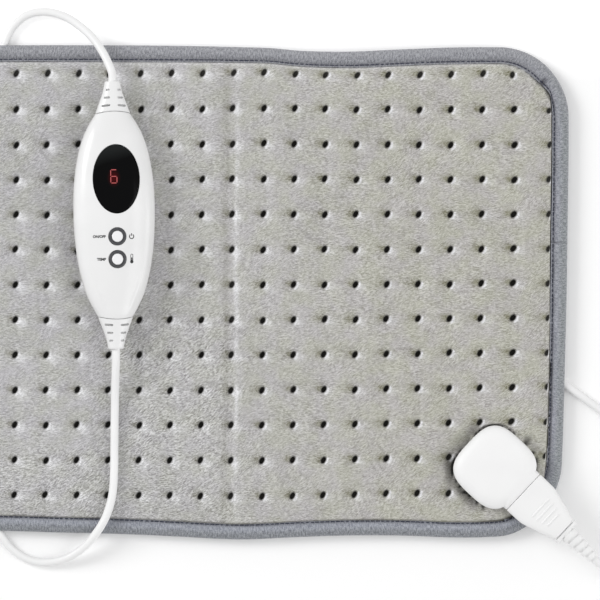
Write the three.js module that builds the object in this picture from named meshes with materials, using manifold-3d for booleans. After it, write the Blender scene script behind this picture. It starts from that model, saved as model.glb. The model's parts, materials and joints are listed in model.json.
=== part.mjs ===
// Heating pad with controller: a tufted pad with a socket in one corner, the plug and lead that join it to an
// in-line controller, and the mains lead with its coil and plug.
// Millimetres, +Z up. The pad lies on Z = 0 with its middle at the origin and its length along X.

import * as THREE from 'three';
import { mergeVertices } from 'three/addons/utils/BufferGeometryUtils.js';
import Module from 'manifold-3d';

// Clearances
const FIT = 0.3; // between pieces that rest on each other or sit in each other
const LOOSE = 0.5; // around a cord that lies in a channel or a tie
const PAST = 1; // how far a cutter runs past the face that it opens

// Pad
const PAD_LENGTH = 600;
const PAD_WIDTH = 300;
const PAD_CORNER = 42;
const BOTTOM_COVER = 6.2;
const WIRE_DIAMETER = 1.6;
const CARRIER = 0.6;
const TOP_COVER = 4.3;
const TUFT_DEPTH = 2.4;
const HEATED_INSET = 27;

// Edge binding
const BINDING_FACE = 9.3;
const BINDING_HEIGHT = 8.9;
const BINDING_LIFT = 0.3;
const BINDING_FOLD = 2.3;
const SLOT_FLOOR = 2.1;
const FLANGE_SPLIT = 5.3;
const SLOT_CEILING = 7.4;

// Weld dots that tuft the pad
const DOT_COLUMNS = 31;
const DOT_ROWS = 13;
const DOT_PITCH_X = 19.15;
const DOT_PITCH_Y = 21.6;
const LAST_COLUMN_INSET = 13.7;
const TOP_ROW_INSET = 16.1;
const DOT_EDGE = 11;

// Heating wire
const WIRE_RUNS = 10;
const WIRE_SIDE_INSET = 42;
const WIRE_TURN_INSET = 52; // where a run ends and its half turn starts
const WIRE_RETURN_INSET = 32;

// Socket and its plug, along the direction in which the plug pulls out
const SOCKET_INSET = [44, 41.5]; // from the pad's right and lower edges
const PLUG_HEADING = -43;
const SOCKET_BACK = -23.1;
const SOCKET_FRONT = 21.2;
const SOCKET_WIDTH = 45.8;
const SOCKET_OFFSET = 0.7; // its middle stands this far to one side of the plug's axis
const SOCKET_CORNER = 14;
const SOCKET_TOP = 26.5;
const SOCKET_FLANGE = 3;
const FLANGE_THICKNESS = 1.2;
const NECK_END = 22.1;
const PLUG_AXIS_Z = 19.5;
const PLUG_WIDTH = 30.3;
const PLUG_HEIGHT = 10.8;
const PLUG_STRAIGHT = 34.5;
const PLUG_END = 56.6;
const PLUG_TAIL_WIDTH = 16.4;
const COLLAR_WIDTH = 18.2;
const PLUG_TAIL_HEIGHT = 8.6;
const NOSE_TIP = 3.6;
const NOSE_WIDTH = 21;
const NOSE_HEIGHT = 8;
const CONTACT_PITCH = 6.5;
const PIN_DIAMETER = 2;
const SLEEVE_DIAMETER = 3.6;
const RELIEF_END = 81.5;

// Controller, along its length
const CONTROLLER_PLACE = [20.4, 46.8];
const CONTROLLER_TURN = 0.8; // about Z
const CONTROLLER_ROLL = 9; // about its length, as it lies on the soft pad
const BODY_POWER = 2.6; // how square its section is
const BODY_LENGTH = 127;
const BODY_WIDTH = 50.4;
const BODY_WIDEST = 4; // where along it the body is widest
const BODY_END_WIDTH = 21.6;
const CROWN = 12.5;
const CROWN_END = 6.6;
const BELLY = 10;
const BELLY_END = 6.2;
const SHELL_WALL = 2.2;
const BOOT_LENGTH = 18.8;
const BOOT_TIP_WIDTH = 9.4;
const LENS_Y = 22.3;
const LENS_WIDTH = 28.8;
const LENS_LENGTH = 42.2;
const LENS_THICKNESS = 1.3;
const LENS_LEDGE = 2;
const BUTTON_Y = { on_off: -13.1, temp: -27.1 };
const CAP_DIAMETER = 6.9;
const RING_DIAMETER = 10.8;
const RING_THICKNESS = 1.1;
const CAP_PROUD = 1;
const BOARD = 1.6;
const SCREW_FROM_SIDE = 9.7; // inside the widest point of the body
const SCREW_INSET = 27.5; // from the ends of the body
const BOARD_INSET = 13.5;
const SCREW_DIAMETER = 2.6;
const SCREW_HEAD = 2.5; // radius

// Cord
const CORD_DIAMETER = 5;
const CORD_SIDES = 8;
const CORD_STEP = 3 * CORD_DIAMETER;

// Coil of the mains lead
const COIL_CENTRE = [-165, -20];
const COIL_TURNS = 3.5; // in each of its two layers
const COIL_INNER_RADIUS = 20;
const COIL_PITCH = 5.6;
const COIL_STEPS = 24; // in one turn
const COIL_SIDES = 6;
const TIE_THICKNESS = 1.2;
const TIE_WIDTH = 9;

// Mains plug
const MAINS_PLUG_Y = 62.3;
const MAINS_BODY_LENGTH = 36;
const MAINS_BODY_WIDTH = 35.3;
const MAINS_BODY_HEIGHT = 13.7;
const MAINS_RELIEF_LENGTH = 24;
const MAINS_PIN_LENGTH = 19;
const MAINS_PIN_DIAMETER = 4;
const MAINS_PIN_SPACING = 18.6;

// Places that follow from the pad's outline and the controller's length
const SOCKET_PLACE = [PAD_LENGTH / 2 - SOCKET_INSET[0], SOCKET_INSET[1] - PAD_WIDTH / 2];
const WIRE_PITCH = (PAD_WIDTH - 2 * WIRE_SIDE_INSET) / (WIRE_RUNS - 1);
const WIRE_RUN_END = PAD_LENGTH / 2 - WIRE_TURN_INSET;
const WIRE_RETURN_X = PAD_LENGTH / 2 - WIRE_RETURN_INSET;
const LAST_COLUMN_X = PAD_LENGTH / 2 - LAST_COLUMN_INSET;
const TOP_ROW_Y = PAD_WIDTH / 2 - TOP_ROW_INSET;
const BOARD_END = BODY_LENGTH / 2 - BOARD_INSET;
const SCREW_X = BODY_WIDTH / 2 - SCREW_FROM_SIDE;
const SCREW_Y = BODY_LENGTH / 2 - SCREW_INSET;

// Heights that follow from the layers
const WIRE_Z = BOTTOM_COVER + FIT + WIRE_DIAMETER / 2;
const CARRIER_Z = WIRE_Z + WIRE_DIAMETER / 2 + FIT;
const LINING_Z = CARRIER_Z + CARRIER + FIT;
const PAD_TOP = LINING_Z + TOP_COVER;
const CORD_ON_FLOOR = CORD_DIAMETER / 2 + 0.05;
const CORD_ON_PAD = PAD_TOP + FIT + CORD_DIAMETER / 2;
const CONTROLLER_Z = PAD_TOP + FIT + rolledDepth();
const COIL_Z = PAD_TOP + FIT + TIE_THICKNESS + LOOSE + CORD_DIAMETER / 2;
const COIL_OUTER_RADIUS = COIL_INNER_RADIUS + COIL_TURNS * COIL_PITCH;
const COIL_START_X = COIL_CENTRE[0] - COIL_OUTER_RADIUS;
const MAINS_PLUG_Z = PAD_TOP + FIT + MAINS_BODY_HEIGHT / 2;

// Routes of the leads: points chosen by hand, [x, y, z], some from an edge or the socket's corner of the pad
const PLUG_LOOP_ROUTE = fromCorner([
  [41, -28.5, 14.5], [65.5, -23.6, 7.5], [81.5, -4, 3.4], [83, 21, CORD_ON_FLOOR], [69, 41.6, CORD_ON_FLOOR],
  [45, 58.5, CORD_ON_FLOOR], [20, 76.7, CORD_ON_FLOOR], [0.7, 90.8, CORD_ON_FLOOR],
]);
const UNDER_PAD_ROUTE = [
  ...fromCorner([[0.4, 91, CORD_ON_FLOOR], [-25, 109, CORD_ON_FLOOR], [-65, 132, CORD_ON_FLOOR]]),
  [160, 21, CORD_ON_FLOOR], [80, 54, CORD_ON_FLOOR], [10, 80, CORD_ON_FLOOR], [-30, 99, CORD_ON_FLOOR],
  ...fromEdge(1, [[-49, -28, CORD_ON_FLOOR], [-49.5, -7, CORD_ON_FLOOR], [-46.1, 5.7, CORD_ON_FLOOR]]),
];
const TOP_LOOP_ROUTE = fromEdge(1, [
  [-41.5, 13.6, 3], [-33.5, 20.2, 3.8], [-22.5, 22.3, 5.2], [-10, 19.2, 7.6], [0.5, 12.2, 11.2],
  [8.6, 4.2, 15.6], [13.9, -3.8, 19.9], [17.2, -10.5, 23.4],
]);
const BOTTOM_LOOP_ROUTE = [
  [21.3, -50, 22.6], [20.9, -62, 18.6], [20.7, -76, CORD_ON_PAD], [20.5, -94, CORD_ON_PAD],
  ...fromEdge(-1, [
    [20.3, 38.4, CORD_ON_PAD], [19.1, 24, 16], [15.4, 11.5, 14.6], [9.4, 1.2, 12.4], [1, -8.2, 8.6],
    [-9, -14.4, 5], [-20.1, -17, 3], [-31.8, -15.6, CORD_ON_FLOOR], [-42.8, -8.8, CORD_ON_FLOOR],
  ]),
];
const SIDE_LOOP_ROUTE = fromEdge(-1, [
  [-50.6, 1.3, CORD_ON_FLOOR], [-61.5, 16.6, CORD_ON_FLOOR], [-75.5, 26.4, CORD_ON_FLOOR],
  [-94, 29.6, CORD_ON_FLOOR], [-112.5, 26.2, CORD_ON_FLOOR], [-128, 16.2, CORD_ON_FLOOR],
  [-139, 1.4, CORD_ON_FLOOR],
]);
const COIL_LEAD_ROUTE = [
  ...fromEdge(-1, [
    [-147, -11, CORD_ON_FLOOR], [-158, -19.4, 3], [-171.5, -22.5, 4.4], [-185, -19, 7.2],
    [-195.6, -9.6, 10.6], [-201.6, 4, 14.2], [-204.2, 22, 16.8], [-204.6, 50, 17.4],
  ]),
  [-204.6, -60, COIL_Z],
];

// How far the rolled body reaches below its axis
function rolledDepth() {
  const roll = THREE.MathUtils.degToRad(CONTROLLER_ROLL);
  const power = BODY_POWER / (BODY_POWER - 1);
  const [across, below] = [(BODY_WIDTH / 2) * Math.sin(roll), BELLY * Math.cos(roll)];
  return (across ** power + below ** power) ** (1 / power);
}

// Points from the pad's upper (1) or lower (-1) edge
function fromEdge(side, points) {
  return points.map(([x, y, z]) => [x, y + (side * PAD_WIDTH) / 2, z]);
}

function fromCorner(points) {
  return fromEdge(-1, points).map(([x, y, z]) => [x + PAD_LENGTH / 2, y, z]);
}

// Materials
const plush = () => finish(0xb3b1a8, 0.95);
const felt = () => finish(0xd8d6cf, 0.95);
const tape = () => finish(0x8c8f9c, 0.85);
const whitePlastic = () => finish(0xf2f2f2, 0.35);
const greyPlastic = () => finish(0x6f7276, 0.4);
const blackGloss = () => finish(0x0b0b0c, 0.08);
const blackPlastic = () => finish(0x1d1d1f, 0.5);
const cordPlastic = () => finish(0xececea, 0.4);
const boardGreen = () => finish(0x1f6b3a, 0.5);
const amber = () => finish(0xb5651d, 0.45);
const brass = () => finish(0xc9a24a, 0.3, 1);
const nickel = () => finish(0xc5c8cb, 0.25, 1);

function finish(color, roughness, metalness = 0) {
  return new THREE.MeshStandardMaterial({ color, roughness, metalness });
}

function add(group, name, geometry, material) {
  const mesh = new THREE.Mesh(geometry, material);
  mesh.name = name;
  group.add(mesh);
}

// Joining and cutting
const wasm = await Module();
wasm.setup();

function solid(geometry) {
  const bare = geometry.clone();
  bare.deleteAttribute('normal');
  bare.deleteAttribute('uv');
  const merged = mergeVertices(bare);
  return new wasm.Manifold(new wasm.Mesh({
    numProp: 3,
    vertProperties: new Float32Array(merged.attributes.position.array),
    triVerts: new Uint32Array(merged.index.array),
  }));
}

function surface(manifold) {
  const mesh = manifold.getMesh();
  const geometry = new THREE.BufferGeometry();
  geometry.setAttribute('position', new THREE.BufferAttribute(mesh.vertProperties, 3));
  geometry.setIndex(new THREE.BufferAttribute(mesh.triVerts, 1));
  return geometry;
}

function cut(body, ...tools) {
  return surface(tools.reduce((rest, tool) => rest.subtract(solid(tool)), solid(body)));
}

function join(body, ...others) {
  return surface(others.reduce((whole, other) => whole.add(solid(other)), solid(body)));
}

function common(body, other) {
  return surface(solid(body).intersect(solid(other)));
}

// Simple solids
function box(x0, x1, y0, y1, z0, z1) {
  const middle = [(x0 + x1) / 2, (y0 + y1) / 2, (z0 + z1) / 2];
  return new THREE.BoxGeometry(x1 - x0, y1 - y0, z1 - z0).translate(...middle);
}

function prism(shape, z0, z1, curveSegments = 12) {
  const depth = z1 - z0;
  return new THREE.ExtrudeGeometry(shape, { depth, bevelEnabled: false, curveSegments }).translate(0, 0, z0);
}

function roundedRect(x0, x1, y0, y1, radius) {
  const shape = new THREE.Shape();
  shape.absarc(x1 - radius, y1 - radius, radius, 0, Math.PI / 2);
  shape.absarc(x0 + radius, y1 - radius, radius, Math.PI / 2, Math.PI);
  shape.absarc(x0 + radius, y0 + radius, radius, Math.PI, 1.5 * Math.PI);
  shape.absarc(x1 - radius, y0 + radius, radius, 1.5 * Math.PI, 2 * Math.PI);
  return shape;
}

// Turned about Z, from [radius, z] points that run from the axis at the bottom to the axis at the top
function turned(profile, segments) {
  const points = profile.map(([radius, z]) => new THREE.Vector2(radius, z));
  return new THREE.LatheGeometry(points, segments).rotateX(Math.PI / 2);
}

function rod(radius, z0, z1, segments = 12) {
  return turned([[0, z0], [radius, z0], [radius, z1], [0, z1]], segments);
}

// A pipe wall about Z
function sleeve(inner, outer, z0, z1, segments = 12) {
  return turned([[inner, z0], [outer, z0], [outer, z1], [inner, z1], [inner, z0]], segments);
}

const alongX = (geometry) => geometry.rotateY(Math.PI / 2);
const alongY = (geometry) => geometry.rotateX(-Math.PI / 2);
const vectors = (points) => points.map((point) => new THREE.Vector3(...point));

// Surfaces made ring by ring
class Skin {
  points = [];
  faces = [];

  ring(points) {
    const first = this.points.length;
    this.points.push(...points);
    return points.map((_, i) => first + i);
  }

  // Rings run anticlockwise seen from the side that the later rings lie on
  bridge(near, far) {
    near.forEach((a, i) => {
      const j = (i + 1) % near.length;
      this.faces.push(a, near[j], far[i], near[j], far[j], far[i]);
    });
  }

  // Closes a ring round its middle
  fan(ring, reversed) {
    const middle = new THREE.Vector3();
    ring.forEach((i) => middle.addScaledVector(this.points[i], 1 / ring.length));
    const [centre] = this.ring([middle]);
    ring.forEach((a, i) => {
      const b = ring[(i + 1) % ring.length];
      this.faces.push(...(reversed ? [centre, b, a] : [centre, a, b]));
    });
  }

  // Fills between a flat outline and the rings inside it, both seen from above
  fill(outline, holes, reversed) {
    const flat = (ring) => ring.map((i) => new THREE.Vector2(this.points[i].x, this.points[i].y));
    const all = [outline, ...holes].flat();
    for (const corners of THREE.ShapeUtils.triangulateShape(flat(outline), holes.map(flat))) {
      const [a, b, c] = corners.map((corner) => all[corner]);
      this.faces.push(...(reversed ? [a, c, b] : [a, b, c]));
    }
  }

  geometry() {
    return new THREE.BufferGeometry().setFromPoints(this.points).setIndex(this.faces);
  }
}

// A body lofted along Y through rings in the XZ plane, listed from the low end
function loft(rings) {
  const skin = new Skin();
  const loops = rings.map((points) => skin.ring(points));
  for (let k = 1; k < loops.length; k += 1) skin.bridge(loops[k - 1], loops[k]);
  skin.fan(loops[0], true);
  skin.fan(loops[loops.length - 1], false);
  return skin.geometry();
}

// A rounded section in the XZ plane, whose power sets how square it is
function section(y, halfWidth, above, below, power, sides = 24) {
  const bend = (value) => Math.sign(value) * Math.abs(value) ** (2 / power);
  return Array.from({ length: sides }, (_, i) => {
    const angle = (-2 * Math.PI * i) / sides;
    const height = Math.sin(angle) > 0 ? above : below;
    return new THREE.Vector3(halfWidth * bend(Math.cos(angle)), y, height * bend(Math.sin(angle)));
  });
}

// Tubes: a route keeps the points that it is given as the stations of the tube
class Route extends THREE.Curve {
  constructor(points) {
    super();
    this.points = points;
  }

  getPointAt(share) {
    return this.points[Math.round(share * (this.points.length - 1))].clone();
  }

  getTangentAt(share) {
    const last = this.points.length - 1;
    const at = Math.round(share * last);
    const before = this.points[Math.max(at - 1, 0)];
    const after = this.points[Math.min(at + 1, last)];
    return after.clone().sub(before).normalize();
  }
}

function sweep(points, shape, curveSegments = 1) {
  const extrudePath = new Route(points);
  return new THREE.ExtrudeGeometry(shape, { steps: points.length - 1, extrudePath, curveSegments });
}

function tube(points, diameter, sides) {
  const corners = Array.from({ length: sides }, (_, i) => {
    const angle = (2 * Math.PI * (i + 0.5)) / sides;
    return new THREE.Vector2(Math.cos(angle), Math.sin(angle)).multiplyScalar(diameter / 2);
  });
  return sweep(points, new THREE.Shape(corners));
}

// A lead bends smoothly between its first and last stretch, which stay straight
function leadPoints(route) {
  const [start, ...bends] = vectors(route);
  const end = bends.pop();
  const curve = new THREE.CatmullRomCurve3(bends, false, 'centripetal');
  return [start, ...curve.getSpacedPoints(Math.ceil(curve.getLength() / CORD_STEP)), end];
}

// Pad outline at a distance inside its edge
function padRing(inset, z) {
  const radius = PAD_CORNER - inset;
  const [x, y] = [PAD_LENGTH / 2 - PAD_CORNER, PAD_WIDTH / 2 - PAD_CORNER];
  const steps = 6;
  const corners = [[x, y], [-x, y], [-x, -y], [x, -y]];
  return corners.flatMap(([cx, cy], quarter) => Array.from({ length: steps + 1 }, (_, i) => {
    const angle = (quarter + i / steps) * (Math.PI / 2);
    return new THREE.Vector3(cx + radius * Math.cos(angle), cy + radius * Math.sin(angle), z);
  }));
}

function depthInPad(x, y) {
  const dx = Math.abs(x) - (PAD_LENGTH / 2 - PAD_CORNER);
  const dy = Math.abs(y) - (PAD_WIDTH / 2 - PAD_CORNER);
  if (dx > 0 && dy > 0) return PAD_CORNER - Math.hypot(dx, dy);
  return PAD_CORNER - Math.max(dx, dy);
}

// Channels in the underside for the leads that run under the pad
function leadChannel(points) {
  const reach = CORD_DIAMETER / 2 + LOOSE;
  // Along a level route the section's x axis points down
  const arch = new THREE.Shape();
  arch.moveTo(CORD_ON_FLOOR + PAST, -reach);
  arch.lineTo(CORD_ON_FLOOR + PAST, reach);
  arch.absarc(0, 0, reach, Math.PI / 2, 1.5 * Math.PI);
  const covered = points.filter(({ x, y }) => depthInPad(x, y) > -2 * CORD_STEP);
  return sweep(covered.map(({ x, y }) => new THREE.Vector3(x, y, CORD_ON_FLOOR)), arch, 2);
}

// Bottom cover
function bottomCover(channels) {
  const skin = new Skin();
  const profile = [
    [BINDING_FACE + 0.9, 0], [BINDING_FACE + FIT, SLOT_FLOOR + FIT],
    [BINDING_FOLD + FIT, SLOT_FLOOR + FIT], [BINDING_FOLD + FIT, FLANGE_SPLIT - FIT],
    [BINDING_FACE + 5, FLANGE_SPLIT - FIT], [HEATED_INSET - 1, BOTTOM_COVER],
  ];
  const rings = profile.map(([inset, z]) => skin.ring(padRing(inset, z)));
  for (let k = 1; k < rings.length; k += 1) skin.bridge(rings[k - 1], rings[k]);
  skin.fill(rings[0], [], true);
  skin.fill(rings.at(-1), [], false);
  return cut(skin.geometry(), ...channels);
}

// Top cover: a plush sheet drawn down at each weld dot, crowned between the dots and thin at the binding
function topCover(socketPocket) {
  const skin = new Skin();
  const profile = [
    [HEATED_INSET - 1, LINING_Z], [BINDING_FACE + 5, FLANGE_SPLIT + FIT],
    [BINDING_FOLD + FIT, FLANGE_SPLIT + FIT], [BINDING_FOLD + FIT, SLOT_CEILING - FIT],
    [BINDING_FACE + FIT, SLOT_CEILING - FIT], [BINDING_FACE + FIT + 0.4, BINDING_LIFT + BINDING_HEIGHT],
  ];
  const rings = profile.map(([inset, z]) => skin.ring(padRing(inset, z)));
  for (let k = 1; k < rings.length; k += 1) skin.bridge(rings[k - 1], rings[k]);
  skin.fill(rings[0], [], true);
  skin.fill(rings.at(-1), [tufts(skin)], false);
  return cut(skin.geometry(), ...socketPocket);
}

// Adds the quilted cells between the dots and returns the ring of points round them
function tufts(skin) {
  const low = PAD_TOP - TUFT_DEPTH;
  const dotX = (column) => LAST_COLUMN_X - (DOT_COLUMNS - 1 - column) * DOT_PITCH_X;
  const dotY = (row) => TOP_ROW_Y - (DOT_ROWS - 1 - row) * DOT_PITCH_Y;
  const dots = new Map();
  const next = new Map();

  function dot(column, row) {
    const key = row * DOT_COLUMNS + column;
    if (!dots.has(key)) {
      dots.set(key, skin.ring([new THREE.Vector3(dotX(column), dotY(row), low)])[0]);
    }
    return dots.get(key);
  }

  function cell(column, row) {
    const corners = [[0, 0], [1, 0], [1, 1], [0, 1]].map(([i, j]) => [column + i, row + j]);
    if (corners.some(([i, j]) => depthInPad(dotX(i), dotY(j)) < DOT_EDGE)) return;
    const ring = corners.map(([i, j]) => dot(i, j));
    const middle = new THREE.Vector3(dotX(column + 0.5), dotY(row + 0.5), PAD_TOP);
    const [crown] = skin.ring([middle]);
    ring.forEach((a, i) => {
      const b = ring[(i + 1) % 4];
      skin.faces.push(crown, a, b);
      // An edge that two cells share cancels out, so what is left runs round the quilted field
      if (next.get(b)?.delete(a) !== true) next.set(a, (next.get(a) ?? new Set()).add(b));
    });
  }

  for (let row = 0; row < DOT_ROWS - 1; row += 1) {
    for (let column = 0; column < DOT_COLUMNS - 1; column += 1) cell(column, row);
  }
  return puffedEdge(skin, next);
}

// Raises the strip outside the last dots, halfway between each pair of them
function puffedEdge(skin, next) {
  const start = [...next.keys()].find((a) => next.get(a).size > 0);
  const outline = [];
  let a = start;
  do {
    const [b] = next.get(a);
    const [from, to] = [skin.points[a], skin.points[b]];
    const middle = from.clone().lerp(to, 0.5);
    const outward = new THREE.Vector3(to.y - from.y, from.x - to.x, 0).normalize();
    const room = depthInPad(middle.x, middle.y) - DOT_EDGE;
    middle.addScaledVector(outward, Math.min(room, DOT_PITCH_X / 2)).setZ(PAD_TOP - PAST);
    const [puff] = skin.ring([middle]);
    skin.faces.push(a, puff, b);
    outline.push(a, puff);
    a = b;
  } while (a !== start);
  return outline;
}

// Edge binding: a tape folded round the flanges of both covers
function edgeBinding(channels) {
  const skin = new Skin();
  const top = BINDING_LIFT + BINDING_HEIGHT;
  const middle = BINDING_LIFT + BINDING_HEIGHT / 2;
  const profile = [
    [BINDING_FACE, BINDING_LIFT + 0.6], [7.5, BINDING_LIFT], [3, BINDING_LIFT], [0.9, BINDING_LIFT + 1.5],
    [0, middle], [0.9, top - 1.5], [3, top], [7.5, top], [BINDING_FACE, top - 0.6],
    [BINDING_FACE, SLOT_CEILING], [BINDING_FOLD, SLOT_CEILING], [BINDING_FOLD, SLOT_FLOOR],
    [BINDING_FACE, SLOT_FLOOR],
  ];
  const rings = profile.map(([inset, z]) => skin.ring(padRing(inset, z)));
  rings.forEach((ring, k) => skin.bridge(ring, rings[(k + 1) % rings.length]));
  return cut(skin.geometry(), ...channels);
}

// Heating wire: level runs joined by half turns, with both ends raised into the socket
function wireRoute() {
  const firstY = (-WIRE_PITCH * (WIRE_RUNS - 1)) / 2;
  const radius = WIRE_PITCH / 2;
  const [rise, fall] = wireEnds();
  const points = [[...fall, LINING_Z + 2.2], [...fall, CARRIER_Z], [fall[0] - 2, fall[1] - 0.6, WIRE_Z]];
  points.push([fall[0] - 12, firstY, WIRE_Z]);
  for (let run = 0; run < WIRE_RUNS - 1; run += 1) {
    const side = run % 2 === 0 ? -1 : 1;
    const y = firstY + run * WIRE_PITCH;
    for (let step = 0; step <= 4; step += 1) {
      const angle = (step / 4) * Math.PI;
      const x = side * (WIRE_RUN_END + radius * Math.sin(angle));
      points.push([x, y + radius - radius * Math.cos(angle), WIRE_Z]);
    }
  }
  const lastY = -firstY;
  points.push([WIRE_RUN_END - 4, lastY, WIRE_Z], [WIRE_RETURN_X - 6, lastY - 4, WIRE_Z]);
  points.push([WIRE_RETURN_X, lastY - 14, WIRE_Z], [WIRE_RETURN_X, rise[1] + 22, WIRE_Z]);
  points.push([WIRE_RETURN_X - 5, rise[1] + 9, WIRE_Z], [rise[0] + 3, rise[1] + 0.8, WIRE_Z]);
  points.push([...rise, CARRIER_Z], [...rise, LINING_Z + 2.2]);
  return vectors(points);
}

// Where the wire comes up through the carrier, in the pad's frame
const WIRE_HOLES = [[-12, 6], [-12, -6]];

function wireEnds() {
  const turn = THREE.MathUtils.degToRad(PLUG_HEADING);
  const [x, y] = SOCKET_PLACE;
  return WIRE_HOLES.map(([along, across]) => [
    x + along * Math.cos(turn) - across * Math.sin(turn),
    y + along * Math.sin(turn) + across * Math.cos(turn),
  ]);
}

function carrier() {
  const skin = new Skin();
  const low = skin.ring(padRing(HEATED_INSET, CARRIER_Z));
  const high = skin.ring(padRing(HEATED_INSET, CARRIER_Z + CARRIER));
  skin.bridge(low, high);
  skin.fill(low, [], true);
  skin.fill(high, [], false);
  const holes = wireEnds().map(([x, y]) => {
    return rod(1.5 * WIRE_DIAMETER, CARRIER_Z - PAST, CARRIER_Z + CARRIER + PAST, 8).translate(x, y, 0);
  });
  return cut(skin.geometry(), ...holes);
}

// Socket outline, grown or shrunk
function socketOutline(grow) {
  const half = SOCKET_WIDTH / 2 + grow;
  const [low, high] = [-half - SOCKET_OFFSET, half - SOCKET_OFFSET];
  return roundedRect(SOCKET_BACK - grow, SOCKET_FRONT + grow, low, high, SOCKET_CORNER + grow);
}

// Places geometry made in the socket's frame, where X is the direction in which the plug pulls out
function atSocket(geometry) {
  const turn = THREE.MathUtils.degToRad(PLUG_HEADING);
  return geometry.rotateZ(turn).translate(SOCKET_PLACE[0], SOCKET_PLACE[1], 0);
}

// The flange under the top cover, round the back half of the socket
function socketFlange(grow) {
  const reach = SOCKET_FLANGE + grow;
  const half = SOCKET_WIDTH / 2 + reach;
  const outline = roundedRect(SOCKET_BACK - reach, grow, -half - SOCKET_OFFSET, half - SOCKET_OFFSET, 5);
  return prism(outline, LINING_Z - grow, LINING_Z + FLANGE_THICKNESS + grow, 3);
}

// The window in the top cover and the seat under it
function socketPocket() {
  const window = prism(socketOutline(FIT), LINING_Z - PAST, PAD_TOP + PAST, 5);
  return [window, socketFlange(FIT)].map(atSocket);
}

// The socket's outside: a rounded block with softened top edges and a short neck that the plug meets
function socketBody() {
  const skin = new Skin();
  const edges = [
    [0, LINING_Z], [0, SOCKET_TOP - 5.5], [1.1, SOCKET_TOP - 2.6], [3.4, SOCKET_TOP - 0.8], [7, SOCKET_TOP],
  ];
  const rings = edges.map(([inset, z]) => {
    const outline = socketOutline(-inset).getPoints(5).slice(0, -1);
    return skin.ring(outline.map(({ x, y }) => new THREE.Vector3(x, y, z)));
  });
  for (let k = 1; k < rings.length; k += 1) skin.bridge(rings[k - 1], rings[k]);
  skin.fill(rings[0], [], true);
  skin.fill(rings.at(-1), [], false);
  const neck = onPlugAxis(loft([SOCKET_FRONT - 12, NECK_END].map(plugSection)));
  return join(skin.geometry(), neck);
}

// Size of the plug along its length, as [half width, half height]
function plugSize(x) {
  const share = Math.max(0, (x - PLUG_STRAIGHT) / (PLUG_END - PLUG_STRAIGHT));
  const between = (near, far) => (near + share * (far - near)) / 2;
  return [between(PLUG_WIDTH, PLUG_TAIL_WIDTH), between(PLUG_HEIGHT, PLUG_TAIL_HEIGHT)];
}

function plugSection(x) {
  const [halfWidth, halfHeight] = plugSize(x);
  return section(x, halfWidth, halfHeight, halfHeight, 4);
}

const CONTACTS = [-CONTACT_PITCH, 0, CONTACT_PITCH];
const onPlugAxis = (geometry) => geometry.rotateZ(-Math.PI / 2).translate(0, 0, PLUG_AXIS_Z);
const atContact = (geometry, y = 0) => alongX(geometry).translate(0, y, PLUG_AXIS_Z);
const SOCKET_SCREWS = [[-16.5, 16], [-16.5, -16]];
const CHAMBER = { back: -15, front: 0, half: 13, floor: 12.3, ceiling: 24.3 };
const BOARD_BACK = -7.6;

function socketSolids(group) {
  const wall = NOSE_TIP - FIT;
  const [noseY, noseZ] = [NOSE_WIDTH / 2 + FIT, NOSE_HEIGHT / 2 + FIT];
  const mouth = box(wall, NECK_END + PAST, -noseY, noseY, PLUG_AXIS_Z - noseZ, PLUG_AXIS_Z + noseZ);
  const { back, front, half, floor, ceiling } = CHAMBER;
  const chamber = box(back, front, -half, half, floor, ceiling);
  const boardSlot = box(BOARD_BACK - FIT, BOARD_BACK + BOARD + FIT, -half - 0.8, half + 0.8, floor, ceiling);
  const pinHoles = CONTACTS.map((y) => (
    atContact(rod(PIN_DIAMETER / 2 + FIT, front - PAST, wall + PAST, 10), y)
  ));
  const screwHoles = SOCKET_SCREWS.map(([x, y]) => join(
    rod(1.1 + FIT, LINING_Z - PAST, 22.5, 10),
    rod(2 + FIT, LINING_Z - PAST, LINING_Z + 2.2, 10),
  ).translate(x, y, 0));
  const wireHoles = WIRE_HOLES.map(([x, y]) => (
    rod(WIRE_DIAMETER / 2 + FIT, LINING_Z - PAST, floor + PAST, 8).translate(x, y, 0)
  ));
  const holes = [mouth, chamber, boardSlot, ...pinHoles, ...screwHoles];
  const body = socketBody();
  const split = PLUG_AXIS_Z;
  const reach = SOCKET_WIDTH;
  const lower = common(body, box(-reach, reach, -reach, reach, 0, split - FIT / 2));
  const upper = common(body, box(-reach, reach, -reach, reach, split + FIT / 2, reach));
  const base = join(lower, socketFlange(0));
  add(group, 'socket_base', cut(base, ...holes, ...wireHoles), whitePlastic());
  add(group, 'socket_cover', cut(upper, ...holes), whitePlastic());
  const board = box(BOARD_BACK, BOARD_BACK + BOARD, -half - 0.5, half + 0.5, floor + FIT, ceiling - FIT);
  add(group, 'socket_board', board, boardGreen());
  CONTACTS.forEach((y, i) => {
    const pin = rod(PIN_DIAMETER / 2, BOARD_BACK + BOARD + FIT, 16, 8);
    add(group, `socket_pin_${i + 1}`, atContact(pin, y), brass());
  });
  const fuse = alongY(turned([[0, -6], [1.2, -6], [2, -5], [2, 5], [1.2, 6], [0, 6]], 10));
  add(group, 'thermal_fuse', fuse.translate(back + 3.4, 0, floor + FIT + 2), amber());
  SOCKET_SCREWS.forEach(([x, y], i) => {
    const [low, seat] = [LINING_Z + FIT, LINING_Z + 2.2 - FIT];
    const screw = turned([[0, low], [2, low], [2, seat], [1.1, seat], [1.1, 21.4], [0, 22.2]], 8);
    add(group, `socket_screw_${i + 1}`, screw.translate(x, y, 0), nickel());
  });
}

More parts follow.
